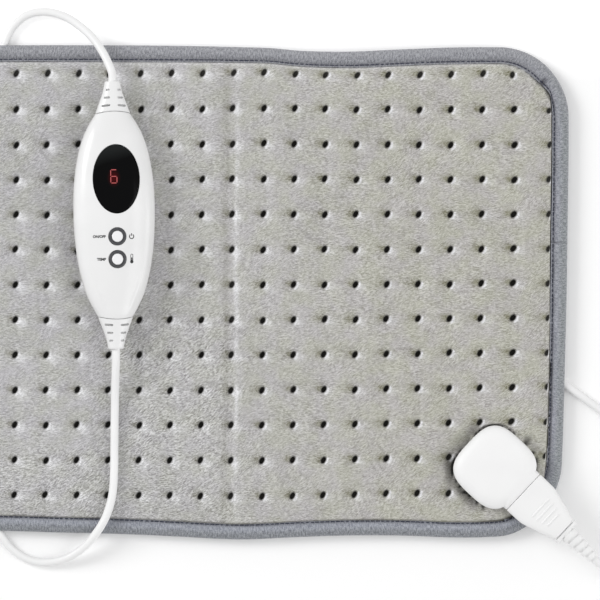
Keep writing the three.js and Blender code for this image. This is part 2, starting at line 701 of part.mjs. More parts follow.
// Plug: two shells round a contact block, with a ribbed strain relief at the tail
function plugSolids(group) {
  const front = NECK_END + FIT;
  const stations = [front, PLUG_STRAIGHT, (PLUG_STRAIGHT + PLUG_END) / 2, PLUG_END];
  const body = onPlugAxis(loft(stations.map(plugSection)));
  const around = (x0, x1, y, z) => box(x0, x1, -y, y, PLUG_AXIS_Z - z, PLUG_AXIS_Z + z);
  const [noseY, noseZ] = [NOSE_WIDTH / 2, NOSE_HEIGHT / 2];
  const blockEnd = 33;
  const rib = { from: 27, to: 29, y: noseY + 1, z: noseZ + 0.6 };
  const flange = { from: 50, to: 52, y: 5, z: 2.8, neck: 2.3 };
  const hollows = [
    around(front - PAST, blockEnd + FIT, noseY + FIT, noseZ + FIT),
    around(rib.from - FIT, rib.to + FIT, rib.y + FIT, rib.z + FIT),
    around(blockEnd, flange.to + FIT, flange.y + FIT, flange.z + FIT),
    around(flange.to, PLUG_END + PAST, flange.neck + FIT, flange.neck + FIT),
  ];
  const grips = [36.4, 40, 43.6, 47.2].map((x) => {
    const top = PLUG_AXIS_Z + plugSize(x)[1] + 0.45;
    return box(x - 0.6, x + 0.6, -6, 6, top - 1.2, top);
  });
  const upperHalf = box(0, RELIEF_END, -PLUG_WIDTH, PLUG_WIDTH, PLUG_AXIS_Z + FIT / 2, 2 * PLUG_AXIS_Z);
  const lowerHalf = box(0, RELIEF_END, -PLUG_WIDTH, PLUG_WIDTH, 0, PLUG_AXIS_Z - FIT / 2);
  const upper = cut(join(common(body, upperHalf), ...grips), ...hollows);
  add(group, 'pad_plug_upper_shell', upper, whitePlastic());
  add(group, 'pad_plug_lower_shell', cut(common(body, lowerHalf), ...hollows), whitePlastic());

  const sleeveEnd = 20;
  const bores = CONTACTS.map((y) => (
    atContact(rod(SLEEVE_DIAMETER / 2 + FIT, NOSE_TIP - PAST, sleeveEnd + FIT, 10), y)
  ));
  const block = join(around(NOSE_TIP, blockEnd, noseY, noseZ), around(rib.from, rib.to, rib.y, rib.z));
  add(group, 'pad_plug_contact_block', cut(block, ...bores), whitePlastic());
  CONTACTS.forEach((y, i) => {
    const contact = sleeve(PIN_DIAMETER / 2 + FIT, SLEEVE_DIAMETER / 2, NOSE_TIP + 1, sleeveEnd, 10);
    add(group, `plug_contact_${i + 1}`, atContact(contact, y), brass());
  });

  const collar = { from: PLUG_END + FIT, to: PLUG_END + 2.6 };
  const [half, height] = [COLLAR_WIDTH / 2, PLUG_TAIL_HEIGHT / 2];
  const plate = onPlugAxis(loft([collar.from, collar.to].map((x) => section(x, half, height, height, 4))));
  const ribs = atContact(strainRelief(collar.to - 0.5, RELIEF_END, 5.4, 3.7, 5));
  const neck = around(flange.to - 0.5, collar.from + 0.5, flange.neck, flange.neck);
  const anchor = around(flange.from, flange.to, flange.y, flange.z);
  add(group, 'pad_plug_strain_relief', join(plate, ribs, neck, anchor), whitePlastic());
}

// Ribbed sleeve about Z that thins towards the cord
function strainRelief(z0, z1, startRadius, endRadius, ribs) {
  const pitch = (z1 - z0) / ribs;
  const profile = [[0, z0]];
  for (let i = 0; i < ribs; i += 1) {
    const radius = startRadius + ((endRadius - startRadius) * i) / (ribs - 1);
    const low = z0 + i * pitch;
    profile.push([radius - 0.9, low], [radius - 0.9, low + 0.35 * pitch]);
    profile.push([radius, low + 0.35 * pitch], [radius, low + pitch]);
  }
  profile.push([0, z1]);
  return turned(profile, 10);
}

// Controller: sizes along its length, from -1 at one end to 1 at the other
const easing = (share, quartic) => (1 - quartic) * share ** 2 + quartic * share ** 4;
function bodyShare(y) {
  const away = y - BODY_WIDEST;
  return Math.min(1, Math.abs(away) / (BODY_LENGTH / 2 - Math.sign(away) * BODY_WIDEST));
}
const bodyWidth = (y) => BODY_WIDTH - (BODY_WIDTH - BODY_END_WIDTH) * easing(bodyShare(y), 0.39);
const bodyTop = (y) => CROWN - (CROWN - CROWN_END) * easing(bodyShare(y), 0.75);
const bodyBottom = (y) => BELLY - (BELLY - BELLY_END) * easing(bodyShare(y), 0.75);

function bodyLoft(inset) {
  const end = BODY_LENGTH / 2 - inset;
  const steps = 10;
  return loft(Array.from({ length: steps + 1 }, (_, i) => {
    const y = end * Math.sin((i / steps - 0.5) * Math.PI);
    const [above, below] = [bodyTop(y) - inset, bodyBottom(y) - inset];
    return section(y, bodyWidth(y) / 2 - inset, above, below, BODY_POWER, 20);
  }));
}

// What lies between two depths under the controller's top face, within an upright outline
function faceLayer(outline, raised, depth) {
  const column = prism(outline, 0, CROWN + 5);
  return cut(common(column, bodyLoft(0).translate(0, 0, raised)), bodyLoft(0).translate(0, 0, -depth));
}

function faceRecess(outline, depth) {
  return cut(prism(outline, 0, CROWN + 5), bodyLoft(0).translate(0, 0, -depth));
}

const SCREWS = [[1, 1], [-1, 1], [-1, -1], [1, -1]].map(([i, j]) => [i * SCREW_X, j * SCREW_Y]);
const BOARD_Z = -BOARD;
const SCREW_SEAT = -4.6;
const SCREW_TIP = 5.2;

// An ellipse on the controller's face, at a distance along it
function oval(width, length, y, sides) {
  return new THREE.Shape(Array.from({ length: sides }, (_, i) => {
    const angle = (2 * Math.PI * i) / sides;
    return new THREE.Vector2((width / 2) * Math.cos(angle), y + (length / 2) * Math.sin(angle));
  }));
}

const lensOval = (grow) => oval(LENS_WIDTH + 2 * grow, LENS_LENGTH + 2 * grow, LENS_Y, 28);
const disc = (diameter, y) => oval(diameter, diameter, y, 16);

function bootHoles() {
  const end = BODY_LENGTH / 2;
  return [1, -1].map((side) => {
    const [near, far] = [end - SHELL_WALL - PAST, end + PAST].map((y) => side * y);
    const [half, height] = [BOOT_NECK.half + FIT, BOOT_NECK.height + FIT];
    return box(-half, half, Math.min(near, far), Math.max(near, far), -height, height);
  });
}

function controllerShells(group) {
  const hollow = bodyLoft(SHELL_WALL);
  const body = bodyLoft(0);
  const [wide, long] = [BODY_WIDTH, BODY_LENGTH];
  const upperHalf = box(-wide, wide, -long, long, FIT / 2, 2 * CROWN);
  const lowerHalf = box(-wide, wide, -long, long, -2 * BELLY, -FIT / 2);

  const openings = [
    faceRecess(lensOval(FIT), LENS_THICKNESS + FIT),
    prism(lensOval(-LENS_LEDGE), 0, CROWN + 5),
  ];
  for (const y of Object.values(BUTTON_Y)) {
    openings.push(faceRecess(disc(RING_DIAMETER + 2 * FIT, y), RING_THICKNESS + FIT));
    openings.push(prism(disc(CAP_DIAMETER + 2 * FIT, y), 0, CROWN + 5));
  }
  const bosses = SCREWS.map(([x, y]) => common(rod(3, FIT, CROWN, 8).translate(x, y, 0), body));
  const pilots = SCREWS.map(([x, y]) => (
    rod(SCREW_DIAMETER / 2 + FIT, 0, SCREW_TIP + FIT, 8).translate(x, y, 0)
  ));
  const upper = join(cut(common(body, upperHalf), hollow), ...bosses);
  add(group, 'controller_top_shell', cut(upper, ...openings, ...pilots, ...bootHoles()), whitePlastic());

  const posts = SCREWS.map(([x, y]) => (
    common(rod(3.6, -BELLY, BOARD_Z - FIT, 8).translate(x, y, 0), body)
  ));
  const sinks = SCREWS.map(([x, y]) => join(
    rod(SCREW_DIAMETER / 2 + FIT, -BELLY - PAST, 0, 8),
    rod(SCREW_HEAD + FIT, -BELLY - PAST, SCREW_SEAT, 8),
  ).translate(x, y, 0));
  const lower = join(cut(common(body, lowerHalf), hollow), ...posts);
  add(group, 'controller_bottom_shell', cut(lower, ...sinks, ...bootHoles()), whitePlastic());
  SCREWS.forEach(([x, y], i) => {
    const head = SCREW_SEAT - FIT;
    const shank = SCREW_DIAMETER / 2;
    const profile = [
      [0, head - 1.8], [SCREW_HEAD, head - 1.4], [SCREW_HEAD, head], [shank, head], [shank, SCREW_TIP - 1],
      [0, SCREW_TIP],
    ];
    add(group, `controller_screw_${i + 1}`, turned(profile, 8).translate(x, y, 0), nickel());
  });
}

function controllerFace(group) {
  const lens = faceLayer(lensOval(0), 0.2, LENS_THICKNESS);
  add(group, 'display_lens', lens, blackGloss());
  const switchHeight = 3.8;
  for (const [name, y] of Object.entries(BUTTON_Y)) {
    const ring = faceLayer(disc(RING_DIAMETER, y), 0.1, RING_THICKNESS);
    const bore = prism(disc(CAP_DIAMETER + 2 * FIT, y), 0, CROWN + 5);
    add(group, `${name}_ring`, cut(ring, bore), greyPlastic());

    const top = bodyTop(y) + CAP_PROUD;
    const flange = bodyTop(y) - SHELL_WALL - 0.6;
    const half = CAP_DIAMETER / 2;
    const stem = flange - 1.8;
    const cap = turned([
      [0, stem], [2, stem], [2, flange - 1], [half + 1.2, flange - 1], [half + 1.2, flange], [half, flange],
      [half, top - 0.6], [half - 0.6, top], [0, top],
    ], 16);
    add(group, `${name}_button`, cap.translate(0, y, 0), whitePlastic());

    const plungerRadius = 1.75;
    const well = rod(plungerRadius + FIT, 1.6, switchHeight + PAST, 10).translate(0, y, 0);
    const housing = box(-3, 3, y - 3, y + 3, FIT, switchHeight);
    add(group, `${name}_switch`, cut(housing, well), blackPlastic());
    const plunger = rod(plungerRadius, 2.6, stem - FIT, 10);
    add(group, `${name}_plunger`, plunger.translate(0, y, 0), greyPlastic());
  }
}

// Circuit board and the parts that it carries on both faces
function controllerBoard(group) {
  const outline = new THREE.Shape();
  const edge = (y) => bodyWidth(y) / 2 - SHELL_WALL - 1.2;
  const stations = Array.from({ length: 11 }, (_, i) => (i / 5 - 1) * BOARD_END);
  stations.forEach((y, i) => (i === 0 ? outline.moveTo(edge(y), y) : outline.lineTo(edge(y), y)));
  stations.toReversed().forEach((y) => outline.lineTo(-edge(y), y));
  const holes = SCREWS.map(([x, y]) => (
    rod(SCREW_DIAMETER / 2 + FIT, BOARD_Z - PAST, PAST, 8).translate(x, y, 0)
  ));
  add(group, 'circuit_board', cut(prism(outline, BOARD_Z, 0), ...holes), boardGreen());

  const digit = { x: -1.6, y: LENS_Y + 1.5, width: 4.8, height: 8.8, bar: 0.9, top: 8.2 };
  const bar = (x0, x1, y0, y1) => {
    return box(digit.x + x0, digit.x + x1, digit.y + y0, digit.y + y1, digit.top - 0.4, digit.top + 0.3);
  };
  const [w, h, t] = [digit.width / 2, digit.height / 2, digit.bar];
  const across = [h - t, -t / 2, -h].map((y) => bar(-w + t + 0.1, w - t - 0.1, y, y + t));
  const upright = [-w, w - t].flatMap((x) => [
    bar(x, x + t, t / 2 + 0.1, h), bar(x, x + t, -h, -t / 2 - 0.1),
  ]);
  const module = box(digit.x - 6.3, digit.x + 6.3, digit.y - 9.5, digit.y + 9.5, FIT, digit.top);
  add(group, 'led_display', join(module, ...across, ...upright), blackPlastic());

  const under = BOARD_Z - FIT;
  add(group, 'capacitor', box(-9, 9, 8, 16, under - 5.4, under), amber());
  const tab = box(-5, 5, -26, -19.2, under - 1.6, under - 0.4);
  add(group, 'triac', join(box(-5, 5, -20, -11, under - 4.4, under), tab), blackPlastic());
  const fuseHalf = [[0, -5], [1.8, -5], [1.8, -2.8], [1.6, -2.8]];
  const fuse = turned([...fuseHalf, ...fuseHalf.toReversed().map(([radius, z]) => [radius, -z])], 10);
  add(group, 'fuse', alongX(fuse).translate(0, 10 - BOARD_END, under - 1.9), nickel());
  add(group, 'control_chip', box(-4, 4, 6 - BOARD_END, 11 - BOARD_END, FIT, 1.8), blackPlastic());
}

// Boots at the two ends: they carry on the body's outline, then thin to the cord
const BOOT_NECK = { half: 5.2, height: 2.6 };
const BOOT_STATIONS = [[0, 1], [0.2, 0.74], [0.4, 0.49], [0.6, 0.26], [0.8, 0.1], [1, 0]];

function boot() {
  const start = BODY_LENGTH / 2 + FIT;
  const length = BOOT_LENGTH - FIT;
  const tip = BOOT_TIP_WIDTH / 2;
  const size = (wide, share) => tip + (wide - tip) * share;
  const body = loft(BOOT_STATIONS.map(([along, share]) => section(
    start + along * length,
    size(BODY_END_WIDTH / 2, share),
    size(CROWN_END, share),
    size(BELLY_END, share),
    BODY_POWER,
    14,
  )));
  const slots = [[0.2, 8], [0.46, 5.9], [0.72, 4.6]].flatMap(([along, reach]) => [1, -1].flatMap((side) => {
    const y = start + along * length;
    const [inner, outer] = [side * 2, side * reach];
    const [x0, x1] = [Math.min(inner, outer), Math.max(inner, outer)];
    return [box(x0, x1, y - 0.5, y + 0.5, 2.6, 9), box(x0, x1, y - 0.5, y + 0.5, -9, -2.6)];
  }));
  const { half, height } = BOOT_NECK;
  const inside = BODY_LENGTH / 2 - SHELL_WALL - FIT;
  const neck = box(-half, half, inside - 0.5, start + 0.5, -height, height);
  const anchor = box(-half - 1.8, half + 1.8, inside - 2, inside, -height - 0.9, height + 0.9);
  return join(cut(body, ...slots), neck, anchor);
}

// Coil: the lead spirals in on the lower layer, climbs where it reverses, and spirals out above
function coilRoute() {
  const turns = 2 * COIL_TURNS;
  const points = Array.from({ length: turns * COIL_STEPS + 1 }, (_, i) => {
    const turn = i / COIL_STEPS;
    const fromMiddle = turn - COIL_TURNS;
    const radius = COIL_INNER_RADIUS + COIL_PITCH * Math.abs(fromMiddle);
    const climb = THREE.MathUtils.smoothstep(fromMiddle, -0.25, 0.25);
    const angle = Math.PI - 2 * Math.PI * turn;
    const x = COIL_CENTRE[0] + radius * Math.cos(angle);
    const y = COIL_CENTRE[1] + radius * Math.sin(angle);
    return new THREE.Vector3(x, y, COIL_Z + COIL_PITCH * climb);
  });
  const straight = (point, length) => point.clone().add(new THREE.Vector3(0, length, 0));
  return [straight(points[0], -CORD_DIAMETER), ...points, straight(points.at(-1), CORD_DIAMETER)];
}

// Least gap between turns, on points set closer than the cord is thick
function leastGap(points) {
  const apart = Math.ceil(COIL_STEPS / 3);
  const fine = points.flatMap((point, i) => {
    const next = points[Math.min(i + 1, points.length - 1)];
    return [0, 0.25, 0.5, 0.75].map((share) => ({ at: i + share, point: point.clone().lerp(next, share) }));
  });
  let least = Infinity;
  for (const a of fine) {
    for (const b of fine) {
      if (b.at - a.at > apart) least = Math.min(least, a.point.distanceTo(b.point));
    }
  }
  return least - CORD_DIAMETER;
}

function coilTie() {
  const [x, y] = COIL_CENTRE;
  const half = CORD_DIAMETER / 2 + LOOSE;
  const inner = roundedRect(
    x + COIL_INNER_RADIUS - half - LOOSE,
    x + COIL_OUTER_RADIUS - COIL_PITCH / 2 + half,
    COIL_Z - half,
    COIL_Z + COIL_PITCH + half,
    1.5,
  );
  const outer = roundedRect(
    x + COIL_INNER_RADIUS - half - LOOSE - TIE_THICKNESS,
    x + COIL_OUTER_RADIUS - COIL_PITCH / 2 + half + TIE_THICKNESS,
    COIL_Z - half - TIE_THICKNESS,
    COIL_Z + COIL_PITCH + half + TIE_THICKNESS,
    1.5 + TIE_THICKNESS,
  );
  outer.holes.push(inner);
  const band = prism(outer, -TIE_WIDTH / 2, TIE_WIDTH / 2, 3);
  return band.rotateX(Math.PI / 2).translate(0, y, 0);
}

// Mains plug: a flat two-pin body with its pins towards +Y
function mainsPlug(group) {
  // Shares of its length, width and height
  const stations = [[0, 0.4, 0.73], [0.25, 0.54, 0.82], [0.55, 0.87, 0.96], [0.75, 1, 1], [1, 1, 1]];
  const body = loft(stations.map(([along, wide, high]) => {
    const half = (MAINS_BODY_HEIGHT / 2) * high;
    return section(along * MAINS_BODY_LENGTH, (MAINS_BODY_WIDTH / 2) * wide, half, half, 3.2);
  }));
  const pinX = [MAINS_PIN_SPACING / 2, -MAINS_PIN_SPACING / 2];
  const holeFloor = MAINS_BODY_LENGTH - 9;
  const holes = pinX.map((x) => (
    alongY(rod(MAINS_PIN_DIAMETER / 2 + FIT, holeFloor, MAINS_BODY_LENGTH + PAST, 12)).translate(x, 0, 0)
  ));
  add(group, 'mains_plug_body', cut(body, ...holes), whitePlastic());
  pinX.forEach((x, i) => {
    const [start, end] = [holeFloor + FIT, MAINS_BODY_LENGTH + MAINS_PIN_LENGTH];
    const half = MAINS_PIN_DIAMETER / 2;
    const pin = turned([[0, start], [half, start], [half, end - 1.2], [half - 0.7, end - 0.2], [0, end]], 12);
    add(group, `mains_pin_${i + 1}`, alongY(pin).translate(x, 0, 0), nickel());
  });
  const relief = strainRelief(-MAINS_RELIEF_LENGTH, -FIT, 3.7, 5.2, 5);
  add(group, 'mains_strain_relief', alongY(relief), whitePlastic());
}

// A point on the line along which the plug pulls out
function onPlugLine(along) {
  const turn = THREE.MathUtils.degToRad(PLUG_HEADING);
  return [SOCKET_PLACE[0] + along * Math.cos(turn), SOCKET_PLACE[1] + along * Math.sin(turn), PLUG_AXIS_Z];
}

// Puts the lead's end straight along the boot that it meets
function bootMouth(side, reach) {
  const turn = THREE.MathUtils.degToRad(CONTROLLER_TURN);
  const along = side * (BODY_LENGTH / 2 + BOOT_LENGTH + reach);
  const [x, y] = CONTROLLER_PLACE;
  return [x - along * Math.sin(turn), y + along * Math.cos(turn), CONTROLLER_Z];
}

function routes() {
  const coilStart = [COIL_START_X, COIL_CENTRE[1] - CORD_DIAMETER - FIT, COIL_Z];
  const tailStart = COIL_CENTRE[1] + CORD_DIAMETER + FIT;
  const tailEnd = MAINS_PLUG_Y - MAINS_RELIEF_LENGTH - FIT;
  const tailZ = COIL_Z + COIL_PITCH;
  return {
    plugLoop: leadPoints([
      onPlugLine(RELIEF_END + FIT), onPlugLine(RELIEF_END + CORD_DIAMETER), ...PLUG_LOOP_ROUTE,
    ]),
    pad: leadPoints([...UNDER_PAD_ROUTE, ...TOP_LOOP_ROUTE, bootMouth(1, CORD_DIAMETER), bootMouth(1, FIT)]),
    mains: leadPoints([
      bootMouth(-1, FIT), bootMouth(-1, CORD_DIAMETER), ...BOTTOM_LOOP_ROUTE, ...SIDE_LOOP_ROUTE,
      ...COIL_LEAD_ROUTE, [COIL_START_X, coilStart[1] - CORD_DIAMETER, COIL_Z], coilStart,
    ]),
    coil: coilRoute(),
    tail: leadPoints([
      [COIL_START_X, tailStart, tailZ], [COIL_START_X, tailStart + CORD_DIAMETER, tailZ],
      [COIL_START_X, tailEnd - CORD_DIAMETER, MAINS_PLUG_Z], [COIL_START_X, tailEnd, MAINS_PLUG_Z],
    ]),
  };
}

function leads(group, { plugLoop, pad, mains, coil, tail }) {
  console.log(`mains_coil: least gap to itself ${leastGap(coil).toFixed(2)} mm`);
  add(group, 'pad_lead_loop', tube(plugLoop, CORD_DIAMETER, CORD_SIDES), cordPlastic());
  add(group, 'pad_lead', tube(pad, CORD_DIAMETER, CORD_SIDES), cordPlastic());
  add(group, 'mains_lead', tube(mains, CORD_DIAMETER, CORD_SIDES), cordPlastic());
  add(group, 'mains_coil', tube(coil, CORD_DIAMETER, COIL_SIDES), cordPlastic());
  add(group, 'mains_tail', tube(tail, CORD_DIAMETER, CORD_SIDES), cordPlastic());
  add(group, 'coil_tie', coilTie(), blackPlastic());
}

function padSolids(group, { plugLoop, pad, mains }) {
  const sideLead = mains.filter(({ y, z }) => y < 0 && z < 2 * CORD_ON_FLOOR);
  const channels = [[...plugLoop.slice(-2), ...pad], sideLead].map(leadChannel);
  add(group, 'bottom_cover', bottomCover(channels), plush());
  add(group, 'heating_wire', tube(wireRoute(), WIRE_DIAMETER, 5), cordPlastic());
  add(group, 'heating_carrier', carrier(), felt());
  add(group, 'top_cover', topCover(socketPocket()), plush());
  add(group, 'edge_binding', edgeBinding(channels), tape());
}

const heatingPad = new THREE.Group();
const cords = routes();
padSolids(heatingPad, cords);
leads(heatingPad, cords);

const connector = new THREE.Group();
connector.position.set(...SOCKET_PLACE, 0);
connector.rotation.z = THREE.MathUtils.degToRad(PLUG_HEADING);
socketSolids(connector);
plugSolids(connector);

const controller = new THREE.Group();
controller.position.set(...CONTROLLER_PLACE, CONTROLLER_Z);
const [roll, turn] = [CONTROLLER_ROLL, CONTROLLER_TURN].map(THREE.MathUtils.degToRad);
controller.rotation.set(0, roll, turn, 'ZYX');
controllerShells(controller);
controllerFace(controller);
controllerBoard(controller);
add(controller, 'controller_boot_pad_side', boot(), whitePlastic());
add(controller, 'controller_boot_mains_side', boot().rotateZ(Math.PI), whitePlastic());

const plug = new THREE.Group();
plug.position.set(COIL_START_X, MAINS_PLUG_Y, MAINS_PLUG_Z);
mainsPlug(plug);

heatingPad.add(connector, controller, plug);
export default heatingPad;
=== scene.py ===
"""Heating pad with controller: its looks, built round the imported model.

Sizes are in millimetres, as in the part's source, and become metres where a mesh is made.
"""

import json
import math

import bmesh
import bpy
import numpy as np
from mathutils import Matrix, Vector, noise


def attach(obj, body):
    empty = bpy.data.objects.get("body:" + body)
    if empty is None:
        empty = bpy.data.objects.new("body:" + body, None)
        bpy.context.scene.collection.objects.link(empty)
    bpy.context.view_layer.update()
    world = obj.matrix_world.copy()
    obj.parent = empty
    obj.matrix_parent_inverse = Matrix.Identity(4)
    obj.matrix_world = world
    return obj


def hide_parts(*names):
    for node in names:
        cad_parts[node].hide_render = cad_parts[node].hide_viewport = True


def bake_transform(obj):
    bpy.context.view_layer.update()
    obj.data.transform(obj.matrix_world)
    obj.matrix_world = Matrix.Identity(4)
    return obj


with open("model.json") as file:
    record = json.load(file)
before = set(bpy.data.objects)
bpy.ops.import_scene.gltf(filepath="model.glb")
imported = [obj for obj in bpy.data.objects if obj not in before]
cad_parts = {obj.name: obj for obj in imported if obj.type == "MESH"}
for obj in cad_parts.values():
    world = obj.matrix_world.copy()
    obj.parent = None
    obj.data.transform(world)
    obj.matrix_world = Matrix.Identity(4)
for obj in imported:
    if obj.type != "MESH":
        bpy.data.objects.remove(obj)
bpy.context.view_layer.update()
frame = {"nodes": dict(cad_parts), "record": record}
nodes = frame["nodes"]
MM = 0.001
BASE = "pad_set"
FIT = 0.3

# Pad
PAD_LENGTH = 600
PAD_WIDTH = 300
PAD_CORNER = 42
PAD_TOP = 13.6
DOT_DEPTH = 4.1
DOT_COLUMNS = 31
DOT_ROWS = 13
DOT_PITCH = (19.15, 21.6)
LAST_COLUMN_X = 286.3
TOP_ROW_Y = 133.9
DOT_EDGE = 11  # dots nearer than this to the pad's outline are left out
HOLE_SIZE = (1.58, 1.98)  # half width and half height of a dot's oval hole
HOLE_LEAN = 0.24  # to the right
DISH_DEPTH = 1.2  # of the soft dip round a hole
DISH_RADIUS = 3
PUFF = 1.5  # how far the plush may swell between its dots
CREASE_X = 93
COVER_EDGE = 10.5  # how far inside the pad's outline the plush comes out of the binding
COVER_EDGE_Z = 9.6  # its height there
COVER_TUCKED_Z = 6.8  # its height under the tape's lip
EDGE_ROLL = 22  # the width in which it rises to the pad's top
CARRIER_TOP = 9
HIDDEN_EDGE = 4  # how far inside the pad's outline the covers end, within the binding
BINDING_FACE = 9.3
JOINT_Y = 29.6  # where the binding's two ends meet, on the right
PUCKER_AT = 107  # along the binding from that joint
SEAM_INSET = 8.8
SEAM_Z = 7.3
STITCH_PITCH = 3.1
STITCH_LENGTH = 2.9
THREAD_RADIUS = 0.34

# Socket and plug, along the direction in which the plug pulls out
SOCKET_PLACE = (256, -108.5)
PLUG_HEADING = -43
SOCKET_BACK = -23.1
SOCKET_FRONT = 21.2
SOCKET_WIDTH = 45.8
SOCKET_OFFSET = 0.7  # its middle stands this far to one side of the plug's axis
SOCKET_CORNER = 14
SOCKET_BASE_Z = 9.3
SOCKET_TOP = 26.5
SOCKET_EDGE = (7, 5.5)  # width and height of the rounding along its top
SOCKET_POWER = 3.2  # how square its outline is
SOCKET_CHAMBER = (-15, 0, -13, 13, 12.3, 24.3)  # from and to in x, y and z
NECK_END = 22.1
# From its end, how much higher than the plug, and how far drawn in
NECK_STATIONS = ((-14, 1.55, 0), (-7.5, 1.5, 0), (-4.5, 1.1, 0), (-2, 0.4, 0), (-0.4, 0, 0), (0, 0, 0.4))
PLUG_AXIS_Z = 19.5
PLUG_WIDTH = 30.3
PLUG_HEIGHT = 10.8
PLUG_STRAIGHT = 34.5
PLUG_END = 56.6
PLUG_TAIL_WIDTH = 16.4
COLLAR_WIDTH = 18.2
COLLAR_STATIONS = ((FIT, 1.6), (0.75, 1.6), (0.8, 0), (2.6, 0.3))  # from the plug's end, and drawn in
PLUG_POWER = 3.2  # how square its section is
PLUG_TAIL_HEIGHT = 8.6
NOSE_TIP = 3.6
NOSE_WIDTH = 21
NOSE_HEIGHT = 8
RELIEF_END = 81.5
GRIPS = ((36.4, 8), (40, 7.6), (43.6, 6.8), (47.2, 5.6))  # place and half length
GRIP_RISE = 0.5
GRIP_HEIGHT = 0.9
GRIP_HALF_WIDTH = 0.75

# Controller, along its length
CONTROLLER_PLACE = (20.4, 46.8)
CONTROLLER_TURN = 0.8
CONTROLLER_ROLL = 9
BODY_LENGTH = 127
BODY_WIDTH = 50.4
BODY_WIDEST = 4  # where along it the body is widest
BODY_END_WIDTH = 21.6
BODY_POWER = 2.6
CROWN = 12.5
CROWN_END = 6.6
BELLY = 10
BELLY_END = 6.2
SHELL_WALL = 2.2
SCREW_FROM_SIDE = 9.7  # inside the widest point of the body
SCREW_Y = 36
SCREW_SINK = 5.6  # diameter of the hole over a screw's head
SCREW_SEAT = -4.6
BOOT_LENGTH = 18.8
END_BULGE = 1.5
END_DRAWN_IN = 1.2
BOOT_TIP_WIDTH = 9.4
LENS_Y = 22.3
LENS_WIDTH = 28.8
LENS_LENGTH = 42.2
BUTTON_Y = {"on_off": -13.1, "temp": -27.1}
CAP_DIAMETER = 6.9
RING_DIAMETER = 10.8
CAP_PROUD = 1

# Cord, its coil and the mains plug
CORD_DIAMETER = 5
FLOOR = CORD_DIAMETER / 2 + 0.05  # height of its middle where it lies on the floor
CORD_ON_PAD = PAD_TOP + FIT + CORD_DIAMETER / 2
COIL_CENTRE = (-165, -20)
COIL_TURNS = 3.5
COIL_INNER_RADIUS = 20
COIL_PITCH = 5.6
COIL_Z = 18.1
MAINS_PLUG_Y = 62.3
MAINS_PLUG_Z = 20.75
MAINS_BODY = (35.3, 36, 13.7)
MAINS_RELIEF_LENGTH = 24
MAINS_PIN_LENGTH = 19
MAINS_PIN_DIAMETER = 4
MAINS_PIN_SPACING = 18.6
MAINS_PIN_ROOT = 8.7  # the length inside the plug's body


# Small helpers
def smoothstep(low, high, x):
    t = np.clip((np.asarray(x, float) - low) / (high - low), 0, 1)
    return t * t * (3 - 2 * t)


def hill(x, middle, width):
    return np.exp(-(((np.asarray(x, float) - middle) / width) ** 2))


def cloud(points, size, seed):
    """Smooth noise from about -1 to 1 at points in the plane, whose lumps are about size wide."""
    return np.array([noise.noise((x / size, y / size, seed)) for x, y in points])


def round_angles(count):
    return np.arange(count) / count * 2 * math.pi


def frame_at(x, y, z, turn=0, roll=0):
    """A place in the pad's frame for geometry that is made in its own."""
    spin = Matrix.Rotation(math.radians(turn), 4, "Z") @ Matrix.Rotation(math.radians(roll), 4, "Y")
    return np.array(Matrix.Translation((x, y, z)) @ spin)


def moved(points, at):
    return np.asarray(points, float) @ at[:3, :3].T + at[:3, 3]


def rolled_depth():
    """How far the rolled controller reaches below its axis."""
    power = BODY_POWER / (BODY_POWER - 1)
    across = BODY_WIDTH / 2 * math.sin(math.radians(CONTROLLER_ROLL))
    below = BELLY * math.cos(math.radians(CONTROLLER_ROLL))
    return (across**power + below**power) ** (1 / power)


CONTROLLER_Z = PAD_TOP + FIT + rolled_depth()
AT_CONTROLLER = frame_at(*CONTROLLER_PLACE, CONTROLLER_Z, CONTROLLER_TURN, CONTROLLER_ROLL)
AT_SOCKET = frame_at(*SOCKET_PLACE, 0, PLUG_HEADING)
AT_PLUG = frame_at(*SOCKET_PLACE, PLUG_AXIS_Z, PLUG_HEADING)
AT_PLUG_LOFT = AT_PLUG @ frame_at(0, 0, 0, -90)  # for lofts along Y
AT_PAD = np.eye(4)
COIL_START_X = COIL_CENTRE[0] - COIL_INNER_RADIUS - COIL_TURNS * COIL_PITCH
AT_MAINS_PLUG = frame_at(COIL_START_X, MAINS_PLUG_Y, MAINS_PLUG_Z)


# Materials
def linear(srgb):
    return [c / 255 / 12.92 if c <= 10 else ((c / 255 + 0.055) / 1.055) ** 2.4 for c in srgb]


